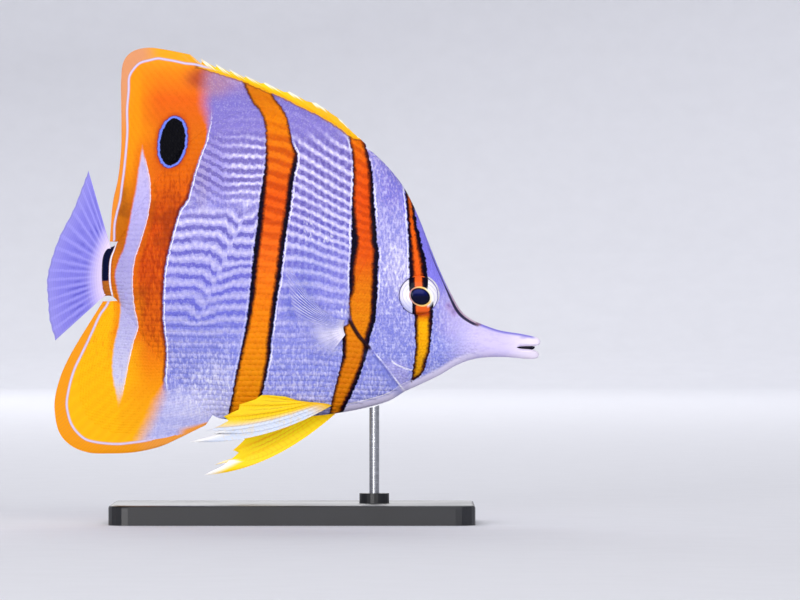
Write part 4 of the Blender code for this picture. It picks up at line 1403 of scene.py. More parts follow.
    def build(self, lie: Lie, finish: bpy.types.Material) -> bpy.types.Object:
        """Joins the patches and keeps the markings' numbers on them.

        Args:
            lie: The scale rows.
            finish: The skin's material.

        Returns:
            The finished skin.
        """
        self.body_patch()
        self.fin_patch([(SOFT_FIN, self.soft_per_ray), (SPINY_FIN, self.spiny_per_ray)])
        self.fin_patch([(ANAL_FIN, self.soft_per_ray)])
        self.jaw_patch(upper=True)
        self.jaw_patch(upper=False)
        mesh = self.mesh
        bmesh.ops.remove_doubles(mesh, verts=mesh.verts, dist=3e-6)
        bmesh.ops.dissolve_degenerate(mesh, edges=mesh.edges, dist=1e-7)
        open_edges = sum(not edge.is_manifold for edge in mesh.edges)
        log.info("skin: %d edges aren't shared by two faces", open_edges)
        data = smooth("skin", mesh)
        place = np.empty(len(data.vertices) * 3, np.float32)
        data.attributes["place"].data.foreach_get("vector", place)
        u, phase, head = place.reshape(-1, 3).T.astype(float)
        data.attributes.remove(data.attributes["place"])
        x, _, z = points_of(data).T
        write_marks(data, marks_at(lie, x, z, head, u, phase))
        write_marks(data, {"scale": np.zeros((len(x), 3))})
        self.unwrap(data, lie)
        data.set_sharp_from_angle(angle=math.radians(50))
        skin = show("skin", data, finish)
        for node in ("head", "snout", "upper_jaw", "lower_jaw", "torso", "tail_stalk",
                     "dorsal_fin_spiny", "dorsal_fin_soft", "anal_fin"):
            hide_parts(node)
        return skin

    def unwrap(self, data: bpy.types.Mesh, lie: Lie) -> None:
        """Lays each side of the skin out flat by its own arc lengths."""
        points = points_of(data)
        corners = np.empty(len(data.loops), np.int32)
        data.loops.foreach_get("vertex_index", corners)
        sides = np.empty(len(data.polygons) * 3, np.float32)
        data.polygons.foreach_get("center", sides)
        totals = np.empty(len(data.polygons), np.int32)
        data.polygons.foreach_get("loop_total", totals)
        centres = sides.reshape(-1, 3) / MM
        side = np.where(centres[:, 1] - BODY.bend(centres[:, 0]) > 0, 1, -1)
        side = np.repeat(side, totals)
        x, _, z = points[corners].T
        layer = data.uv_layers.new(name="OFBake")
        layer.data.foreach_set("uv", lie.unwrap(x, z, side).astype(np.float32).ravel())


def bend_at(x: float, z: float) -> float:
    """The tail's swing, which the middle fins beside it don't share."""
    return float(BODY.bend(x)) if -9.5 < z < 9.5 else 0.0


@dataclass
class ScaleCoat:
    """Small scales over the skin, each a thin domed vane that lies backwards."""

    flank_pitch: float = 1.65
    head_pitch: float = 0.95
    stalk_pitch: float = 1.1
    fin_pitch: float = 1.15
    flank_lift: float = 0.1
    head_lift: float = 0.05
    fin_lift: float = 0.025
    sink: float = 0.07
    fin_cover: float = 0.72
    spiny_cover: float = 0.5
    patch_size: float = 0.003
    seed: int = 7

    def __post_init__(self) -> None:
        """Shapes one scale: along from its root, across, and height, as shares."""
        mesh = bmesh.new()
        bmesh.ops.create_grid(mesh, x_segments=4, y_segments=4, size=0.5)
        a = np.array([v.co.x + 0.5 for v in mesh.verts])
        b = np.array([v.co.y * 2 for v in mesh.verts])
        mesh.verts.index_update()
        faces = [[v.index for v in face.verts] for face in mesh.faces]
        mesh.free()
        self.faces = np.array(faces)
        rear = np.isclose(a, 1.0)
        side = np.isclose(np.abs(b), 1.0)
        # The last ring goes straight down, so it stands just outside the ring before it
        a = np.where(rear, 0.79, a)
        b = np.where(side, np.sign(b) * 0.62, b)
        self.along = np.array([0.0, 0.3, 0.62, 0.92, 1.0])[np.rint(
            np.where(rear, 1.0, a) * 4).astype(int)]
        curve = 1 - 0.3 * np.clip(self.along - 0.35, 0, 1) ** 2 / 0.42
        self.across = np.sign(b) * np.where(side, 1.0, np.abs(b) * 1.72) * curve
        bow = 0.16 * self.across**2
        self.along = self.along - bow * np.where(self.along > 0.5, 1, 0.2)
        self.dome = step(0.0, 0.85, self.along + bow)
        self.rim = rear | side
        self.random = np.random.default_rng(self.seed)

    def heights(self, lift: float) -> np.ndarray:
        """How high each point of a scale stands over the skin, in mm."""
        dome = mix(-self.sink, lift, self.dome) - 0.3 * lift * self.across**2
        return np.where(self.rim, -self.sink - 0.05, dome)

    def rows_on_body(self, lie: Lie, pitch: float, keep, leaning: bool):
        """Places scales along level rows of the body.

        Args:
            lie: The scale rows.
            pitch: Distance between scales and between rows, in mm.
            keep: Says which places (x, z) get a scale.
            leaning: Whether rows of the front flank drop towards the head.

        Returns:
            x and z of each scale, and its direction's slope.
        """
        rows = lie.rows
        grid_x, grid_z = np.meshgrid(rows.x, rows.z, indexing="ij")
        level = lie.up + (rows.lean(grid_x, grid_z) if leaning else 0)
        low, top = BODY.belly.at(rows.x), BODY.back.at(rows.x)
        found = []
        for k in range(math.ceil(level.min() / pitch), math.floor(level.max() / pitch)):
            z = np.array([np.interp(k * pitch, column, rows.z) for column in level])
            inside = (z > low + 0.25) & (z < top - 0.1) & (rows.x > -57.4) & (rows.x < 60)
            if inside.sum() < 4:
                continue
            x_in, z_in = rows.x[inside], z[inside]
            half = BODY.half(x_in, z_in)
            length = np.hypot(np.hypot(np.diff(x_in), np.diff(z_in)), np.diff(half))
            arc = np.concatenate([[0], np.cumsum(length)])
            arc -= arc[np.argmin(np.abs(x_in))]
            first = math.ceil(arc[0] / pitch) + (0.5 if k % 2 else 0.0)
            places = np.arange(first, arc[-1] / pitch) * pitch
            x_at = np.interp(places, arc, x_in)
            z_at = np.interp(places, arc, z_in)
            slope = np.interp(x_at, x_in, np.gradient(z_in, x_in))
            found.append(np.stack([x_at, z_at, slope]))
        x, z, slope = np.concatenate(found, axis=1)
        kept = keep(x, z)
        return x[kept], z[kept], slope[kept]

    def on_body(self, lie: Lie, pitch: float, keep, head: bool, leaning: bool):
        """Shapes scales over the body.

        Args:
            lie: The scale rows.
            pitch: Distance between scales and between rows, in mm.
            keep: Says which places (x, z) get a scale.
            head: Whether they lie on the head.
            leaning: Whether rows of the front flank drop towards the head.

        Returns:
            Points, roots and marks of every scale, for one side.
        """
        x0, z0, slope = self.rows_on_body(lie, pitch, keep, leaning)
        count = len(x0)
        loose, sway = (0.13, 0.13) if head else (0.05, 0.045)
        x0 = x0 + self.random.normal(0, loose, count)
        z0 = z0 + self.random.normal(0, loose, count)
        size = self.random.normal(1.0, 0.03, (count, 1))
        turn = np.arctan(slope)[:, None] + self.random.normal(0, sway, (count, 1))
        run, rise = BODY.slopes(x0, z0, 0.1)
        length, width = 1.72 * pitch, 0.66 * pitch
        back = (0.42 - self.along)[None, :] * length * size
        up = self.across[None, :] * width * size
        x = x0[:, None] + (back * np.cos(turn)) / np.sqrt(1 + run**2)[:, None] - up * np.sin(turn)
        z = z0[:, None] + back * np.sin(turn) + up * np.cos(turn) / np.sqrt(
            1 + np.minimum(rise**2, 16))[:, None]
        low, top = BODY.belly.at(x), BODY.back.at(x)
        z = np.clip(z, low + 0.03, top - 0.03)
        flat = (x.ravel(), z.ravel())
        half = BODY.half(*flat)
        on_head = np.full(half.shape, head)
        half = half + BODY.relief(*flat, on_head)
        run, rise = (np.clip(slope, -4, 4) for slope in BODY.slopes(*flat, 0.05))
        norm = np.sqrt(1 + rise**2 + run**2)
        lift = self.heights(self.head_lift if head else self.flank_lift)
        lift = np.tile(lift, count)
        px = flat[0] - run / norm * lift
        pz = flat[1] - rise / norm * lift
        py = np.maximum(half + lift / norm, 0.0)
        zero = np.zeros(len(px))
        return (px, py, pz), (x0, z0), (zero, zero, on_head)

    def on_fin(self, fin: MiddleFin, cover: float):
        """Shapes scales over a fin's base, which lie along its rays.

        Args:
            fin: The fin.
            cover: Share of the fin's height that scales cover.

        Returns:
            Points, roots and marks of every scale, for one side.
        """
        samples = np.linspace(0, 1, 400)
        x, z = fin.root_x(samples), fin.edge.at(fin.root_x(samples))
        arc = np.concatenate([[0], np.cumsum(np.hypot(np.diff(x), np.diff(z)))])
        tips = along(fin.tips, samples)
        spread = np.concatenate([[0], np.cumsum(np.hypot(*(np.diff(t) for t in tips)))])
        middle = (arc + spread) / 2
        columns = np.interp(
            np.arange(0.6, middle[-1], self.fin_pitch * 0.62), middle, samples)
        us, vs, lengths, spans = [], [], [], []
        for k, v in enumerate(columns):
            x0, z0, _ = fin.place(0.0, v, 0.3, 0.0)
            x1, z1, _ = fin.place(1.0, v, 0.3, 0.0)
            ray = float(np.hypot(x1 - x0, z1 - z0))
            u = (-0.5 if k % 2 else 0.0) * self.fin_pitch / ray
            while u < cover:
                pitch = self.fin_pitch * mix(1.0, 0.72, max(u, 0) / cover)
                us.append(u)
                vs.append(v)
                lengths.append(pitch / ray)
                spans.append(pitch)
                u += pitch / ray * 1.25
        us, vs = np.array(us)[:, None], np.array(vs)[:, None]
        lengths, spans = np.array(lengths)[:, None], np.array(spans)[:, None]
        per_mm = np.interp(vs.ravel(), samples, np.gradient(samples, middle))[:, None]
        size = self.random.normal(1.0, 0.04, us.shape)
        u = us + (self.along[None, :] - 0.42) * 2.0 * lengths * size
        v = vs - self.across[None, :] * 0.66 * spans * per_mm * size
        u, v = np.clip(u, 0, 1), np.clip(v, 0.002, 0.998)
        moved = ray_at(v, fin.rays, fin.offset)[1]
        where = v * fin.rays + fin.offset
        away = np.abs(where - np.floor(where + 0.5))
        crest = np.maximum(1 - away / 0.17, 0)
        x, z, half = fin.place(u, v, away if fin.spiny else moved, crest)
        lift = self.heights(self.fin_lift)[None, :]
        x0, z0, _ = fin.place(us, vs, 0.3, 0.0)
        return (
            (x.ravel(), np.maximum(half + lift, 0).ravel(), z.ravel()),
            (x0.ravel(), z0.ravel()), (u.ravel(), where.ravel(), np.zeros(u.size, bool)),
        )

    def join(self, name: str, groups: list, lie: Lie, sides: tuple[Side, ...],
             finish: bpy.types.Material) -> bpy.types.Object:
        """Joins scales into one piece.

        Args:
            name: The piece's name.
            groups: What on_body and on_fin return.
            lie: The scale rows.
            sides: Which sides of the fish it covers.
            finish: The skin's material.

        Returns:
            The finished piece.
        """
        size = len(self.along)
        points, roots, extras, signs = [], [], [], []
        for side in sides:
            for (x, y, z), (x0, z0), extra in groups:
                bend = np.where(np.abs(z) < 9.5, BODY.bend(x), 0)
                points.append(np.stack([x, side.value * y + bend, z], axis=1))
                roots.append(np.stack([x0, z0], axis=1))
                extras.append(np.stack(extra, axis=1))
                signs.append(np.full(len(x0), side.value))
        points, roots = np.concatenate(points), np.concatenate(roots)
        extras, signs = np.concatenate(extras), np.concatenate(signs)
        count = len(roots)
        faces = self.faces[None] + (np.arange(count) * size)[:, None, None]
        # Scales of the left side are mirror images, so their faces turn round
        faces = np.where((signs < 0)[:, None, None], faces, faces[:, :, ::-1])
        faces = faces.reshape(-1, 4)
        data = bpy.data.meshes.new(name)
        data.vertices.add(len(points))
        data.loops.add(faces.size)
        data.polygons.add(len(faces))
        lifted = (points + (0, 0, BODY_HEIGHT)) * MM
        data.vertices.foreach_set("co", lifted.astype(np.float32).ravel())
        data.loops.foreach_set("vertex_index", faces.ravel().astype(np.int32))
        data.polygons.foreach_set("loop_start", np.arange(0, faces.size, 4, dtype=np.int32))
        data.update(calc_edges=True)
        data.validate()
        x, _, z = points.T
        write_marks(data, marks_at(lie, x, z, extras[:, 2], extras[:, 0], extras[:, 1]))
        tones = np.repeat(self.random.uniform(-1, 1, count), size)
        alongs, acrosses = np.tile(self.along, count), np.tile(self.across, count)
        write_marks(data, {"scale": np.stack([alongs, acrosses, tones], axis=-1)})
        places = lie.unwrap(roots[:, 0], roots[:, 1], signs)
        spread = np.stack([self.along - 0.5, self.across / 2], axis=-1) * self.patch_size
        uv = (places[:, None, :] + spread[None]).reshape(-1, 2)
        layer = data.uv_layers.new(name="OFBake")
        layer.data.foreach_set("uv", uv[faces.ravel()].astype(np.float32).ravel())
        data.shade_smooth()
        piece = show(name, data, finish)
        return piece

    def build(self, lie: Lie, finish: bpy.types.Material) -> None:
        """Covers flanks, stalk, head and fin bases with scales."""
        gill = BODY.by_share(BODY.gill_edge)

        def off_rim(x, z):
            return (x < 14) | (z > BODY.belly.at(x) + 1.9)

        def behind_gill(x, z):
            return off_rim(x, z) & (x < gill.at(BODY.height_share(x, z)) - 0.35)

        def on_flank(x, z):
            return behind_gill(x, z) & (x > -50)

        def on_stalk(x, z):
            return (x <= -50) & (x - TAIL_ROOT.at(BODY.height_share(x, z)) > 0.9)

        def on_head(x, z):
            bare = np.zeros(len(x), bool)
            for nx, nz in BODY.nostrils:
                bare |= np.hypot(x - nx, z - nz) < 1.3
            clear = (BODY.eye_distance(x, z) > 6.7) & ~bare & off_rim(x, z)
            ahead = gill.at(BODY.height_share(x, z)) + 0.45
            return clear & (x > ahead) & (x < 56.5 - 0.1 * np.abs(z + 21))

        flank = [
            self.on_body(lie, self.flank_pitch, on_flank, False, True),
            self.on_body(lie, self.stalk_pitch, on_stalk, False, False),
        ]
        head = [self.on_body(lie, self.head_pitch, on_head, True, False)]
        fins = [self.on_fin(SOFT_FIN, self.fin_cover), self.on_fin(ANAL_FIN, self.fin_cover),
                self.on_fin(SPINY_FIN, self.spiny_cover)]
        both = (Side.RIGHT, Side.LEFT)
        self.join("flank_scales", flank, lie, both, finish)
        self.join("head_scales", head, lie, both, finish)
        for side in both:
            self.join("fin_scales_" + side.name.lower(), fins, lie, (side,), finish)


@dataclass(frozen=True)
class FinSkin:
    """Clear fin skin over bony rays: thin between them, so light passes through."""

    name: str
    membrane: str
    ray: str
    root: str
    tip: str
    alpha_membrane: float = 0.7
    alpha_ray: float = 0.95
    root_share: float = 0.18
    streak: str = ""
    streak_to: float = 1.0
    cloud: float = 0.0
    gap: str = ""
    glow: float = 0.0
    # Strength of a painted glow, emission on the face turned to the body
    through: float = 0.0
    branched: bool = False

    def build(self) -> bpy.types.Material:
        """Paints rays, skin between them, root and tip.

        Returns:
            The material.
        """
        g = Graph(self.name)
        add, zone, lay = g.add, g.zone, g.lay
        g.u, phase, g.v = g.split("fin")
        g.fine, g.coarse = g.noise(700), g.noise(220)
        phase = add("ADD", phase, g.even(g.fine, -0.06, 0.06))
        g.crest, g.fork = g.wave(phase, 1), g.wave(phase, 0.5)
        on_ray = zone(crest=(0.2, 0.9))
        patchy = add("MapRange", g.coarse, 0.35, 0.7, 0, 0.35)
        g.shade = g.blend(patchy, self.membrane, self.ray)
        if self.gap:
            patchy = add("MapRange", g.coarse, 0.35, 0.6)
            lay(zone(patchy, u=(0.2, 0.35, 0.45, 0.85), crest=(-0.2, -0.8)), self.gap)
        lay(on_ray, self.ray)
        alpha = add("MapRange", on_ray, 0, 1, self.alpha_membrane, self.alpha_ray)
        if self.streak:
            grain = add("MapRange", g.fine, 0.3, 0.5, 0.7, 1)
            lay(zone(grain, v=(self.streak_to + 0.07, self.streak_to - 0.1)), self.streak)
        if self.branched:
            # Each ray of the upper part splits, pale with a dark blue shadow beside it
            here = add("MapRange", g.coarse, 0.3, 0.5, 0.4, 1)
            here = zone(here, v=(0.58, 0.42), u=(0.15, 0.35))
            for span, tint in (((-0.1, -0.7), "#2C3CC4"), ((0.3, 0.85), "#F4F4FF")):
                mark = zone(here, fork=span)
                lay(mark, tint)
                alpha = add("MAXIMUM", alpha, add("MULTIPLY", mark, 0.66))
        if self.cloud:
            cloud = add("Soft", g.coarse, 0.25, 0.6, 0.5, self.cloud)
            cloud = zone(cloud, v=(0.36, 0.66), u=(0.95, 0.4))
            lay(cloud, "#F6F0FF")
            alpha = add("MAXIMUM", alpha, cloud)
        lay(zone(u=(self.root_share, 0)), self.root)
        tips = g.fade(g.u, 0.75, 1, 0.7)
        if self.glow:
            lay(zone(fork=(0.72, 0.98), v=(0.3, 0.5), u=(0.95, 0.6)), "#B4700A", 0.5)
            tips = zone(u=(0.86, 1), v=(0.34, 0.2))
        lay(tips, self.tip)
        g.multiply(add("MapRange", add("SINE", add("MULTIPLY", g.u, 150)), 0.6, 1, 1, 0.9))
        alpha = add("ADD", alpha, add("MapRange", g.u, 0.3, 0, 0, 0.5), use_clamp=True)
        looks = {"Roughness": g.even(g.fine, 0.35, 0.5), "Specular_IOR_Level": 0.2}
        if self.through:
            # Painted glow: the face turned to the body is given emission that stands in for light passing
            # through from the other face
            inner = add("SUBTRACT", 1, g.split("sheet")[0])
            lit = g.blend(inner, "#000000", g.shade)
            return g.finish(**looks, Emission_Color=lit, Emission_Strength=self.through)
        if self.branched:
            # Only the outer face shows, so that light isn't lost between the two
            alpha = add("MULTIPLY", alpha, g.split("sheet")[0])
        return g.finish(**looks, Alpha=alpha, Subsurface_Weight=self.glow,
                        Subsurface_Radius=(1, 1, 1), Subsurface_Scale=0.0005)


@dataclass
class RayFin:
    """A thin fin of its own: a closed sheet with rays raised on both faces.

    notch says how far the skin between two rays reaches, as a share of their
    length, and first_notch the same behind the first ray, where the cut is wider.
    """

    name: str
    roots: Points
    tips: Points
    rays: int
    ridge: float
    root_half: float
    thin_half: float = 0.12
    side: int = 0
    lean: float = 0.0
    bow: float = 0.0
    notch: float = 0.97
    first_notch: float = 1.0
    per_ray: int = 6
    along_rows: int = 30
    tail: bool = False

    def place(self, u, v, moved, crest):
        """Points of the fin's middle surface and half its thickness, in mm."""
        x0, z0 = along(self.roots, v)
        x1, z1 = along(self.tips, v)
        first = (v * self.rays < 1) & (self.first_notch < 1)
        gap = np.where(first, (2 * moved) ** 0.35, (2 * moved) ** 0.8)
        notch = np.where(first, self.first_notch, self.notch)
        reach = u * mix(1, notch, gap * step(0.5, 1.0, u))
        x, z = mix(x0, x1, reach), mix(z0, z1, reach)
        z = z - self.bow * (1 - v) ** 1.5 * 4 * u * (1 - u)
        half = mix(self.thin_half, self.root_half, (1 - u) ** 3)
        half = half + self.ridge * crest * step(0.0, 0.2, u) * mix(1, 0.4, u)
        rim = np.sqrt(np.clip(1 - np.clip((u - 0.96) / 0.04, 0, 1) ** 2, 0.02, 1))
        half = half * rim
        if self.tail:
            return x, BODY.bend(x), z, half
        clear = 0.3 + half
        out = BODY.half(x0, z0) + COAT_DEPTH + clear + self.lean * np.hypot(x - x0, z - z0)
        inside = (z > BODY.belly.at(x)) & (z < BODY.back.at(x))
        flank = np.where(inside, BODY.half(x, z) + COAT_DEPTH, 0) + clear
        settle = step(0.0, 0.08, u)
        return x, self.side * np.maximum(out, flank) * mix(0.955, 1, settle), z, half

    def build(self, finish: bpy.types.Material, slot: str) -> bpy.types.Object:
        """Makes the fin in place of its solid.

        Args:
            finish: The fin's material.
            slot: The record's slot for it; not used.

        Returns:
            The finished fin.
        """
        mesh = bmesh.new()
        bmesh.ops.create_grid(
            mesh, x_segments=self.along_rows, y_segments=self.rays * self.per_ray, size=0.5
        )
        both = mesh.verts[:] + mesh.edges[:] + mesh.faces[:]
        made = bmesh.ops.extrude_face_region(mesh, geom=both, use_keep_orig=True)["geom"]
        for vert in made:
            if isinstance(vert, bmesh.types.BMVert):
                vert.co.z = 1
        grid = np.array([vert.co[:] for vert in mesh.verts])
        u = grid[:, 0] + 0.5
        v, moved, crest = ray_at(grid[:, 1] + 0.5, self.rays)
        x, y, z, half = self.place(u, v, moved, crest)
        y = y + np.where(grid[:, 2] > 0.5, half, -half)
        for vert, px, py, pz in zip(mesh.verts, x, y, z):
            vert.co = world(px, py, pz)
        data = smooth(self.name, mesh)
        outer = (np.where(grid[:, 2] > 0.5, 1, -1) == (self.side or 1)).astype(float)
        write_marks(data, {"fin": np.stack([u, v * self.rays, v], axis=-1),
                           "sheet": np.stack([outer] * 3, axis=-1)})
        piece = show(self.name + "_rays", data, finish)
        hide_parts(self.name)
        return piece


PECTORAL_ROOTS = (
    (15.9, -15.2), (15.6, -15.8), (15.4, -16.5), (15.3, -17.3), (15.4, -18.1), (15.6, -18.9), (15.9, -19.6),
)
PECTORAL_TIPS = (
    (0.6, -0.9), (-1.7, -0.2), (-1.3, -6.3), (0.6, -13.0), (2.7, -19.5), (5.8, -24.6), (10.4, -26.8),
)


class OtherFins:
    """Tail fin, breast fins and belly fins, thin enough for light to pass."""

    def build(self) -> None:
        """Makes each fin with its own finish."""
        tail_roots = tuple((x + 0.8, z * 0.9) for x, z in BODY.tail_root)
        tail = RayFin(
            "tail_fin", tail_roots,
            ((-62.1, 30.2), (-64.2, 24.8), (-67.0, 17.9), (-70.9, 10.6), (-73.6, 3.3),
             (-75.0, -3.0), (-74.7, -9.1), (-74.2, -15.2), (-72.4, -21.4)),
            rays=16, ridge=0.16, root_half=0.8, notch=0.988, tail=True,
        )
        tail.build(FinSkin(
            "clear violet fin skin", membrane="#8C86EC", ray="#9E99F2", root="#EAD9F8",
            tip="#A29CF0", alpha_membrane=0.9, root_share=0.38, gap="#6A66D8").build(),
            "clear_fin")
        # The breast fins' white root is partly their own pale colour and partly a painted highlight at the
        # root
        clear = FinSkin(
            "clear breast fin skin", membrane="#B8B8F8", ray="#C4C6F4", root="#F4F0FF",
            tip="#B9B4EC", alpha_membrane=0.1, alpha_ray=0.3, cloud=0.8,
            branched=True).build()
        for side in Side:
            RayFin(
                "pectoral_fin_" + side.name.lower(), PECTORAL_ROOTS, PECTORAL_TIPS, rays=14,
                ridge=0.12, root_half=0.55, thin_half=0.09, side=side.value, lean=0.4,
                bow=3.2,
            ).build(clear, "clear_fin")
        pelvic = {"rays": 7, "ridge": 0.2, "root_half": 0.6, "thin_half": 0.16, "lean": 0.21,
                  "per_ray": 10, "notch": 0.9, "first_notch": 0.84}
        RayFin(
            "pelvic_fin_right",
            ((11.8, -41.0), (11.0, -40.7), (10.0, -40.4), (8.6, -40.2), (7.0, -40.0),
             (5.2, -39.9), (3.4, -39.7), (1.6, -39.5)),
            ((-30.9, -51.8), (-24.2, -49.4), (-26.4, -48.6), (-23.6, -47.6), (-20.9, -44.2),
             (-16.1, -40.6), (-9.4, -37.8), (-2.4, -38.2)),
            side=-1, bow=3.4, **pelvic,
        ).build(FinSkin(
            "yellow and white belly fin skin", membrane="#FFDC10", ray="#FFCE0C",
            root="#F8C41C", tip="#FFFFFF", alpha_membrane=1.0, alpha_ray=1.0, glow=0.3,
            streak="#DDE6FA", streak_to=0.45).build(), "yellow_fin")
        # The far belly fin lies in shade under the body, so its finish gets a painted glow
        RayFin(
            "pelvic_fin_left",
            ((14.5, -42.1), (13.6, -41.9), (12.4, -41.6), (11.0, -41.3), (9.4, -41.0),
             (7.6, -40.8), (5.8, -40.6), (4.0, -40.4)),
            ((-27.3, -62.4), (-22.4, -60.0), (-24.0, -59.3), (-20.9, -58.9), (-18.6, -54.9),
             (-16.0, -50.6), (-11.5, -47.4), (-4.0, -45.0)),
            side=1, bow=4.5, **pelvic,
        ).build(FinSkin(
            "yellow belly fin skin", membrane="#FFDE14", ray="#FFD20C", root="#FAC010",
            tip="#FFFFFF", alpha_membrane=1.0, alpha_ray=1.0, glow=0.3,
            through=0.4).build(), "yellow_fin")


@dataclass(frozen=True)
class MouthLining:
    """Moist lining that closes the mouth towards its corner, painted near black for the shade inside the
    mouth.
    """

    centre: tuple[float, float] = (70.4, -23.55)
    half_sizes: tuple[float, float, float] = (2.9, 0.7, 0.75)

    def build(self) -> None:
        """Makes it between the jaws, with its own finish."""
        mesh = bmesh.new()
        bmesh.ops.create_uvsphere(mesh, u_segments=24, v_segments=16, radius=1)
        x, z = self.centre
        for vert in mesh.verts:
            ahead, out, up = (v * half for v, half in zip(vert.co, self.half_sizes))
            vert.co = world(x + ahead, out, z + up + 0.06 * math.sin(ahead * 5))
        g = Graph("mouth lining in painted shade")
        # Painted shade: near black, as the inside of the mouth lies in shadow
        g.shade = g.blend(g.noise(1500), "#06040F", "#1C1230")
        finish = g.finish(Roughness=0.5, Specular_IOR_Level=0.15)
        show("mouth_lining", smooth("mouth_lining", mesh), finish)


@dataclass(frozen=True)
class EyeSurface:
    """The wet, clear front of the eye, over a white iris and a dark pupil."""

    def build(self) -> bpy.types.Material:
        """Paints pupil, gold ring, iris and the band that crosses it.

        Returns:
            The material.
        """
        g = Graph("wet eye")
        add, zone, lay = g.add, g.zone, g.lay
        g.ahead, g.up, g.outside = g.split("disc")
        jitter = g.even(g.noise(900), -0.12, 0.12)
        rings = add("SINE", add("MULTIPLY", add("ADD", g.outside, jitter), 6.5))
        g.shade = g.blend(add("MapRange", rings, 0.1, 1, 0, 0.42), "#FAF7FF", "#A9A4D4")
        lay(zone(up=(-0.5, -4), ahead=(1, -2)), "#BFC3F0", 0.7)
        # The eye band crosses the iris above and below the pupil
        for middle, half, inner, span, tint, deep in (
            (0.08, 2.9, 1.1, (1, 1.5), "#EE6420", "#CC3C1A"),
            (1.4, 3.25, 2.05, (-1.6, -2.1), "#F2641E", "#A84206"),
        ):
            g.away = add("ADD", add("ABSOLUTE", add("SUBTRACT", g.ahead, middle)), jitter)
            here = add("MapRange", g.up, *span)
            lay(zone(here, away=(half + 0.1, half - 0.15)), "#05031A")
            lay(zone(here, away=(inner + 0.55, inner + 0.1)), "#4A1206")
            bright = zone(here, away=(inner + 0.15, inner - 0.25))
            lay(bright, tint)
            lay(zone(bright, up=(-4.5, -5.4)), deep)
        g.aside = add("ABSOLUTE", g.ahead)
        lay(zone(outside=(1.5, 0.3), aside=(2.4, 3.1)), "#FFFFFF")
        ring = add("ABSOLUTE", add("SUBTRACT", g.outside, 0.2))
        ring = add("DIVIDE", ring, add("Soft", g.ahead, -2, 2.6, 0.16, 0.36))
        gold = g.blend(add("MapRange", g.ahead, -2.2, 0.6), "#C9868A", "#FFD27A")
        gold = g.blend(zone(ahead=(1.4, 3), up=(-2.4, -1)), gold, "#FFF8E0")
        lay(g.fade(ring, 1.3, 0.7), gold)
        lay(zone(outside=(0.08, -0.1)), "#01020F")
        blue = add("Soft", g.up, -0.6, 1.8, 0.1, 0.9)
        lay(zone(blue, outside=(-0.1, -0.8)), "#0C1A74")
        return g.finish(Roughness=0.12, Specular_IOR_Level=0.12, IOR=1.38, Coat_Weight=0.12,
                        Coat_Roughness=0.03)


@dataclass(frozen=True)
class EyeRimSkin:
    """Thin dark skin that closes round the eyeball."""

    def build(self) -> bpy.types.Material:
        """Paints it dark slate, paler towards the snout.

        Returns:
            The material.
        """
        g = Graph("dark eye rim skin")
        add, middle_height = g.add, BODY_HEIGHT * MM
        x, _, z = g.parts(g.place)
        g.shade = g.blend(add("MapRange", x, 0.036, 0.0432), "#1C164A", "#7A70BE")
        g.lay(g.even(g.noise(1200), 0, 0.4), "#4E4690")
        # The eye band's middle, which slants forwards on its way down
        middle = add("MULTIPLY_ADD", z, -0.12, 0.0387 + 0.12 * (BODY_HEIGHT - 7.75) * MM)
        g.across = add("ABSOLUTE", add("SUBTRACT", x, middle))
        g.lay(g.zone(across=(0.0032, 0.0026)), "#0A0412")
        above = g.fade(z, middle_height - 0.008, middle_height - 0.004)
        g.lay(g.zone(across=(0.002, 0.0014)), g.blend(above, "#A0380E", "#F06418"))
        return g.finish(Roughness=0.5, Specular_IOR_Level=0.2)


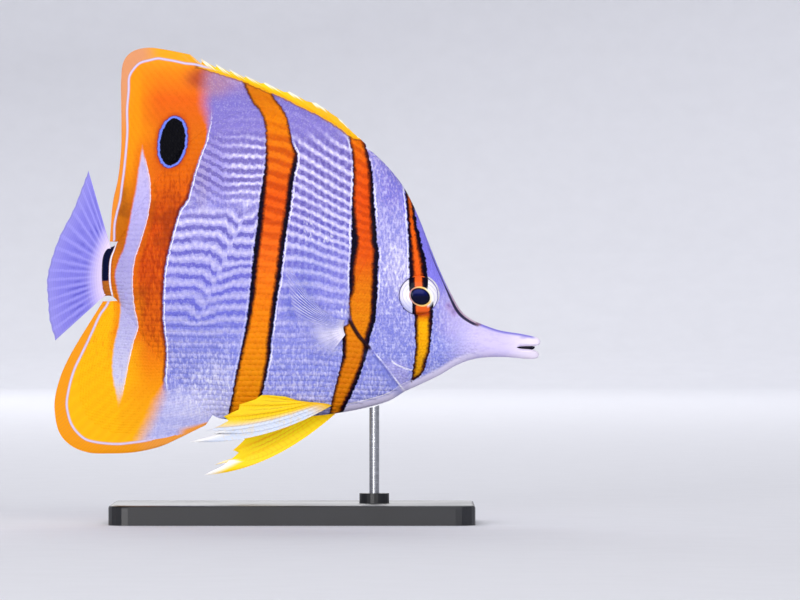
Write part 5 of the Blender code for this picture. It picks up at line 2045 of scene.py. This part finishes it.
@dataclass
class Eye:
    """An eyeball of the solids' size, with the lens bulging through the pupil."""

    centre: tuple[float, float, float] = (37.9, 5.7, -7.75)
    half_sizes: tuple[float, float, float] = (6.6, 3.4, 6.6)
    turn: float = math.radians(9)
    lens: float = 0.25
    pupil: tuple[float, float] = (0.62, -0.27)
    pupil_half: tuple[float, float] = (2.98, 2.55)
    rim: float = 5.87
    rim_thick: float = 0.2

    def outside_pupil(self, ahead: float, up: float) -> float:
        """How far outside the pupil a point of the side view lies, in mm."""
        ahead, up = ahead - self.pupil[0], up - self.pupil[1]
        up += 0.13 * ahead
        return (math.hypot(ahead / self.pupil_half[0], up / self.pupil_half[1]) - 1) * 2.75

    def ball(self, side: Side, finish: bpy.types.Material) -> None:
        """Makes the eyeball of one side.

        Args:
            side: Which side of the head.
            finish: The eye's material.
        """
        mesh = bmesh.new()
        bmesh.ops.create_uvsphere(mesh, u_segments=64, v_segments=96, radius=1)
        disc = []
        x, y, z = self.centre
        turn = side.value * -self.turn
        cosine, sine = math.cos(turn), math.sin(turn)
        for vert in mesh.verts:
            ahead, up = vert.co.x * self.half_sizes[0], vert.co.y * self.half_sizes[2]
            out = vert.co.z * self.half_sizes[1]
            facing = vert.co.z * side.value > 0
            if facing:
                outside = self.outside_pupil(ahead + 0.5, up)
                swell = self.lens * float(step(0.4, -0.5, outside))
                out += side.value * (swell - 0.08 * float(bump(outside, 0.3, 0.35)) - 0.04)
            ahead, out = ahead * cosine - out * sine, ahead * sine + out * cosine
            disc.append((ahead, up, self.outside_pupil(ahead, up) if facing else 9.0))
            vert.co = world(x + ahead, side.value * y + out, z + up)
        name = "eye_" + side.name.lower()
        data = smooth(name + "_ball", mesh)
        write_marks(data, {"disc": np.array(disc)})
        piece = show(name + "_ball", data, finish)
        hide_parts(name)

    def ring(self, side: Side, finish: bpy.types.Material) -> None:
        """Makes the thin rim of skin round the eyeball.

        Args:
            side: Which side of the head.
            finish: The rim's material.
        """
        mesh = bmesh.new()
        bmesh.ops.create_grid(mesh, x_segments=120, y_segments=8, size=0.5)
        for vert in mesh.verts:
            angle, round_it = (2 * math.pi * (v + 0.5) for v in vert.co[:2])
            away = self.rim + self.rim_thick * math.cos(round_it)
            ahead, up = away * math.cos(angle), away * math.sin(angle)
            x, z = self.centre[0] + ahead, self.centre[2] + up
            skin = float(BODY.half(np.array([x]), np.array([z]))[0]) - 0.62
            ball = self.centre[1] + 1.56 - 0.158 * ahead
            y = max(skin, ball) + self.rim_thick * math.sin(round_it)
            vert.co = world(x, side.value * y, z)
        bmesh.ops.remove_doubles(mesh, verts=mesh.verts, dist=1e-6)
        name = "eye_" + side.name.lower() + "_rim"
        show(name, smooth(name, mesh), finish)

    def build(self) -> None:
        """Makes both eyes."""
        surface, rim = EyeSurface().build(), EyeRimSkin().build()
        for side in Side:
            self.ball(side, surface)
            self.ring(side, rim)


@dataclass(frozen=True)
class SatinBlack:
    """Sheet metal with a satin black stoving paint, which hides all grain."""

    shade: str = "#15161A"

    def build(self) -> bpy.types.Material:
        """Paints it, with a faint sprayed texture.

        Returns:
            The material.
        """
        g = Graph("satin black stoved metal")
        haze = g.noise(30, 3, 0.5)
        g.shade = g.blend(g.even(haze, 0, 0.5), self.shade, "#22242B")
        return g.finish(Roughness=g.even(haze, 0.34, 0.46),
                        Normal=g.add("Bump", 0.15, 0.0001, g.noise(1400, 4)))


@dataclass(frozen=True)
class BrushedSteel:
    """Stainless steel bar, ground round its length, which draws glints out across it."""

    shade: str = "#B4B6BC"

    def build(self) -> bpy.types.Material:
        """Paints it, with fine grinding marks.

        Returns:
            The material.
        """
        g = Graph("ground stainless steel")
        marks = g.noise((300, 300, 4200), 4)
        g.shade = g.blend(g.even(marks), self.shade, "#8E9096")
        return g.finish(Roughness=g.even(marks, 0.22, 0.4), Metallic=1,
                        Normal=g.add("Bump", 0.2, 0.00005, marks))


class Stand:
    """The display base and its rod, kept as the solids give them."""

    def build(self, frame: dict) -> None:
        """Gives both their finishes.
        """
        for node, finish in (("stand_base", SatinBlack().build()),
                             ("stand_rod", BrushedSteel().build())):
            piece = frame["nodes"][node]
            piece.data.materials.clear()
            piece.data.materials.append(finish)
            log.info("%s: kept, with its own finish", node)


@dataclass
class Studio:
    """Floor, light and camera, which aren't part of the fish."""

    azimuth: float = math.radians(0.0)
    lens: float = 350.0
    view_width: float = 242.4
    aim: tuple[float, float, float] = (32.4, 0.0, 67.5)

    def floor(self) -> None:
        """A wide pale floor that rises softly into a backdrop."""
        mesh = bmesh.new()
        bmesh.ops.create_grid(mesh, x_segments=120, y_segments=120, size=8.0)
        for vert in mesh.verts:
            away = max(math.hypot(vert.co.x, vert.co.y) - 3.6, 0.0)
            vert.co.z = 3.0 * (1 - math.exp(-(away * 0.7) ** 2))
        data = smooth("floor", mesh, closed=False)
        g = Graph("matt white paper")
        g.shade = g.blend(g.noise(60, 3, 0.5), "#D8D9E0", "#DEDFE6")
        data.materials.append(g.finish(Roughness=0.9))
        floor = bpy.data.objects.new("floor", data)
        bpy.context.scene.collection.objects.link(floor)
        floor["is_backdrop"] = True

    def light(self, name: str, place: tuple, size: float, power: float, tint: str,
              aim: tuple = (0.0, 0.0, BODY_HEIGHT * MM)) -> None:
        """Adds a square soft light that faces the fish, or another place."""
        data = bpy.data.lights.new(name, "AREA")
        data.size, data.energy, data.color = size, power, colour(tint)[:3]
        lamp = bpy.data.objects.new(name, data)
        lamp.location = place
        lamp.visible_camera = False
        toward = Vector(aim) - lamp.location
        lamp.rotation_euler = toward.to_track_quat("-Z", "Y").to_euler()
        bpy.context.scene.collection.objects.link(lamp)

    def camera(self) -> None:
        """Sets the camera at the photograph's angle and frame."""
        data = bpy.data.cameras.new("camera")
        data.lens, data.sensor_width = self.lens, 36.0
        data.clip_start = 0.01
        distance = self.view_width * MM * self.lens / 36.0
        aim = Vector(self.aim) * MM
        offset = Vector((math.sin(self.azimuth), -math.cos(self.azimuth), 0.0)) * distance
        camera = bpy.data.objects.new("camera", data)
        camera.location = aim + offset
        camera.rotation_euler = (math.pi / 2, 0.0, self.azimuth)
        bpy.context.scene.collection.objects.link(camera)
        bpy.context.scene.camera = camera

    def build(self) -> None:
        """Sets the studio up."""
        self.floor()
        self.light("front", (0.6, -3.0, 1.5), 2.4, 46.0, "#FFFEFA")
        self.light("front low", (-1.0, -2.9, 0.45), 0.9, 32.0, "#FFFDFC")
        self.light("backdrop", (0.0, 3.2, 2.6), 2.0, 46.0, "#FFFFFF", aim=(0.0, 6.5, 2.6))
        self.light("top", (0.0, 0.15, 3.0), 2.1, 15.0, "#FFFFFF")
        self.light("behind", (-0.6, 3.0, 1.86), 2.4, 52.0, "#FFFFFF")
        world = bpy.data.worlds.new("studio")
        world.use_nodes = True
        background = world.node_tree.nodes["Background"]
        background.inputs["Color"].default_value = colour("#F1F1F8")
        background.inputs["Strength"].default_value = 0.42
        bpy.context.scene.world = world
        bpy.context.scene.view_settings.view_transform = "Standard"
        self.camera()


def main() -> list[list[float]]:
    """Builds the fish and its studio.

    Returns:
        The box of the solids, before any piece replaced them.
    """
    logging.basicConfig(level=logging.INFO, format="%(name)s: %(message)s")
    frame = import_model()
    solids = [[float(v) for v in corner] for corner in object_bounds()]
    lie = Lie()
    skin_finish = ScaledSkin().build()
    Skin().build(lie, skin_finish)
    ScaleCoat().build(lie, skin_finish)
    OtherFins().build()
    MouthLining().build()
    Eye().build()
    Stand().build(frame)
    Studio().build()
    return solids


if __name__ == "__main__":
    boxes = {"cad": main()}
    boxes["visual"] = [[float(v) for v in corner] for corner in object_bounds()]
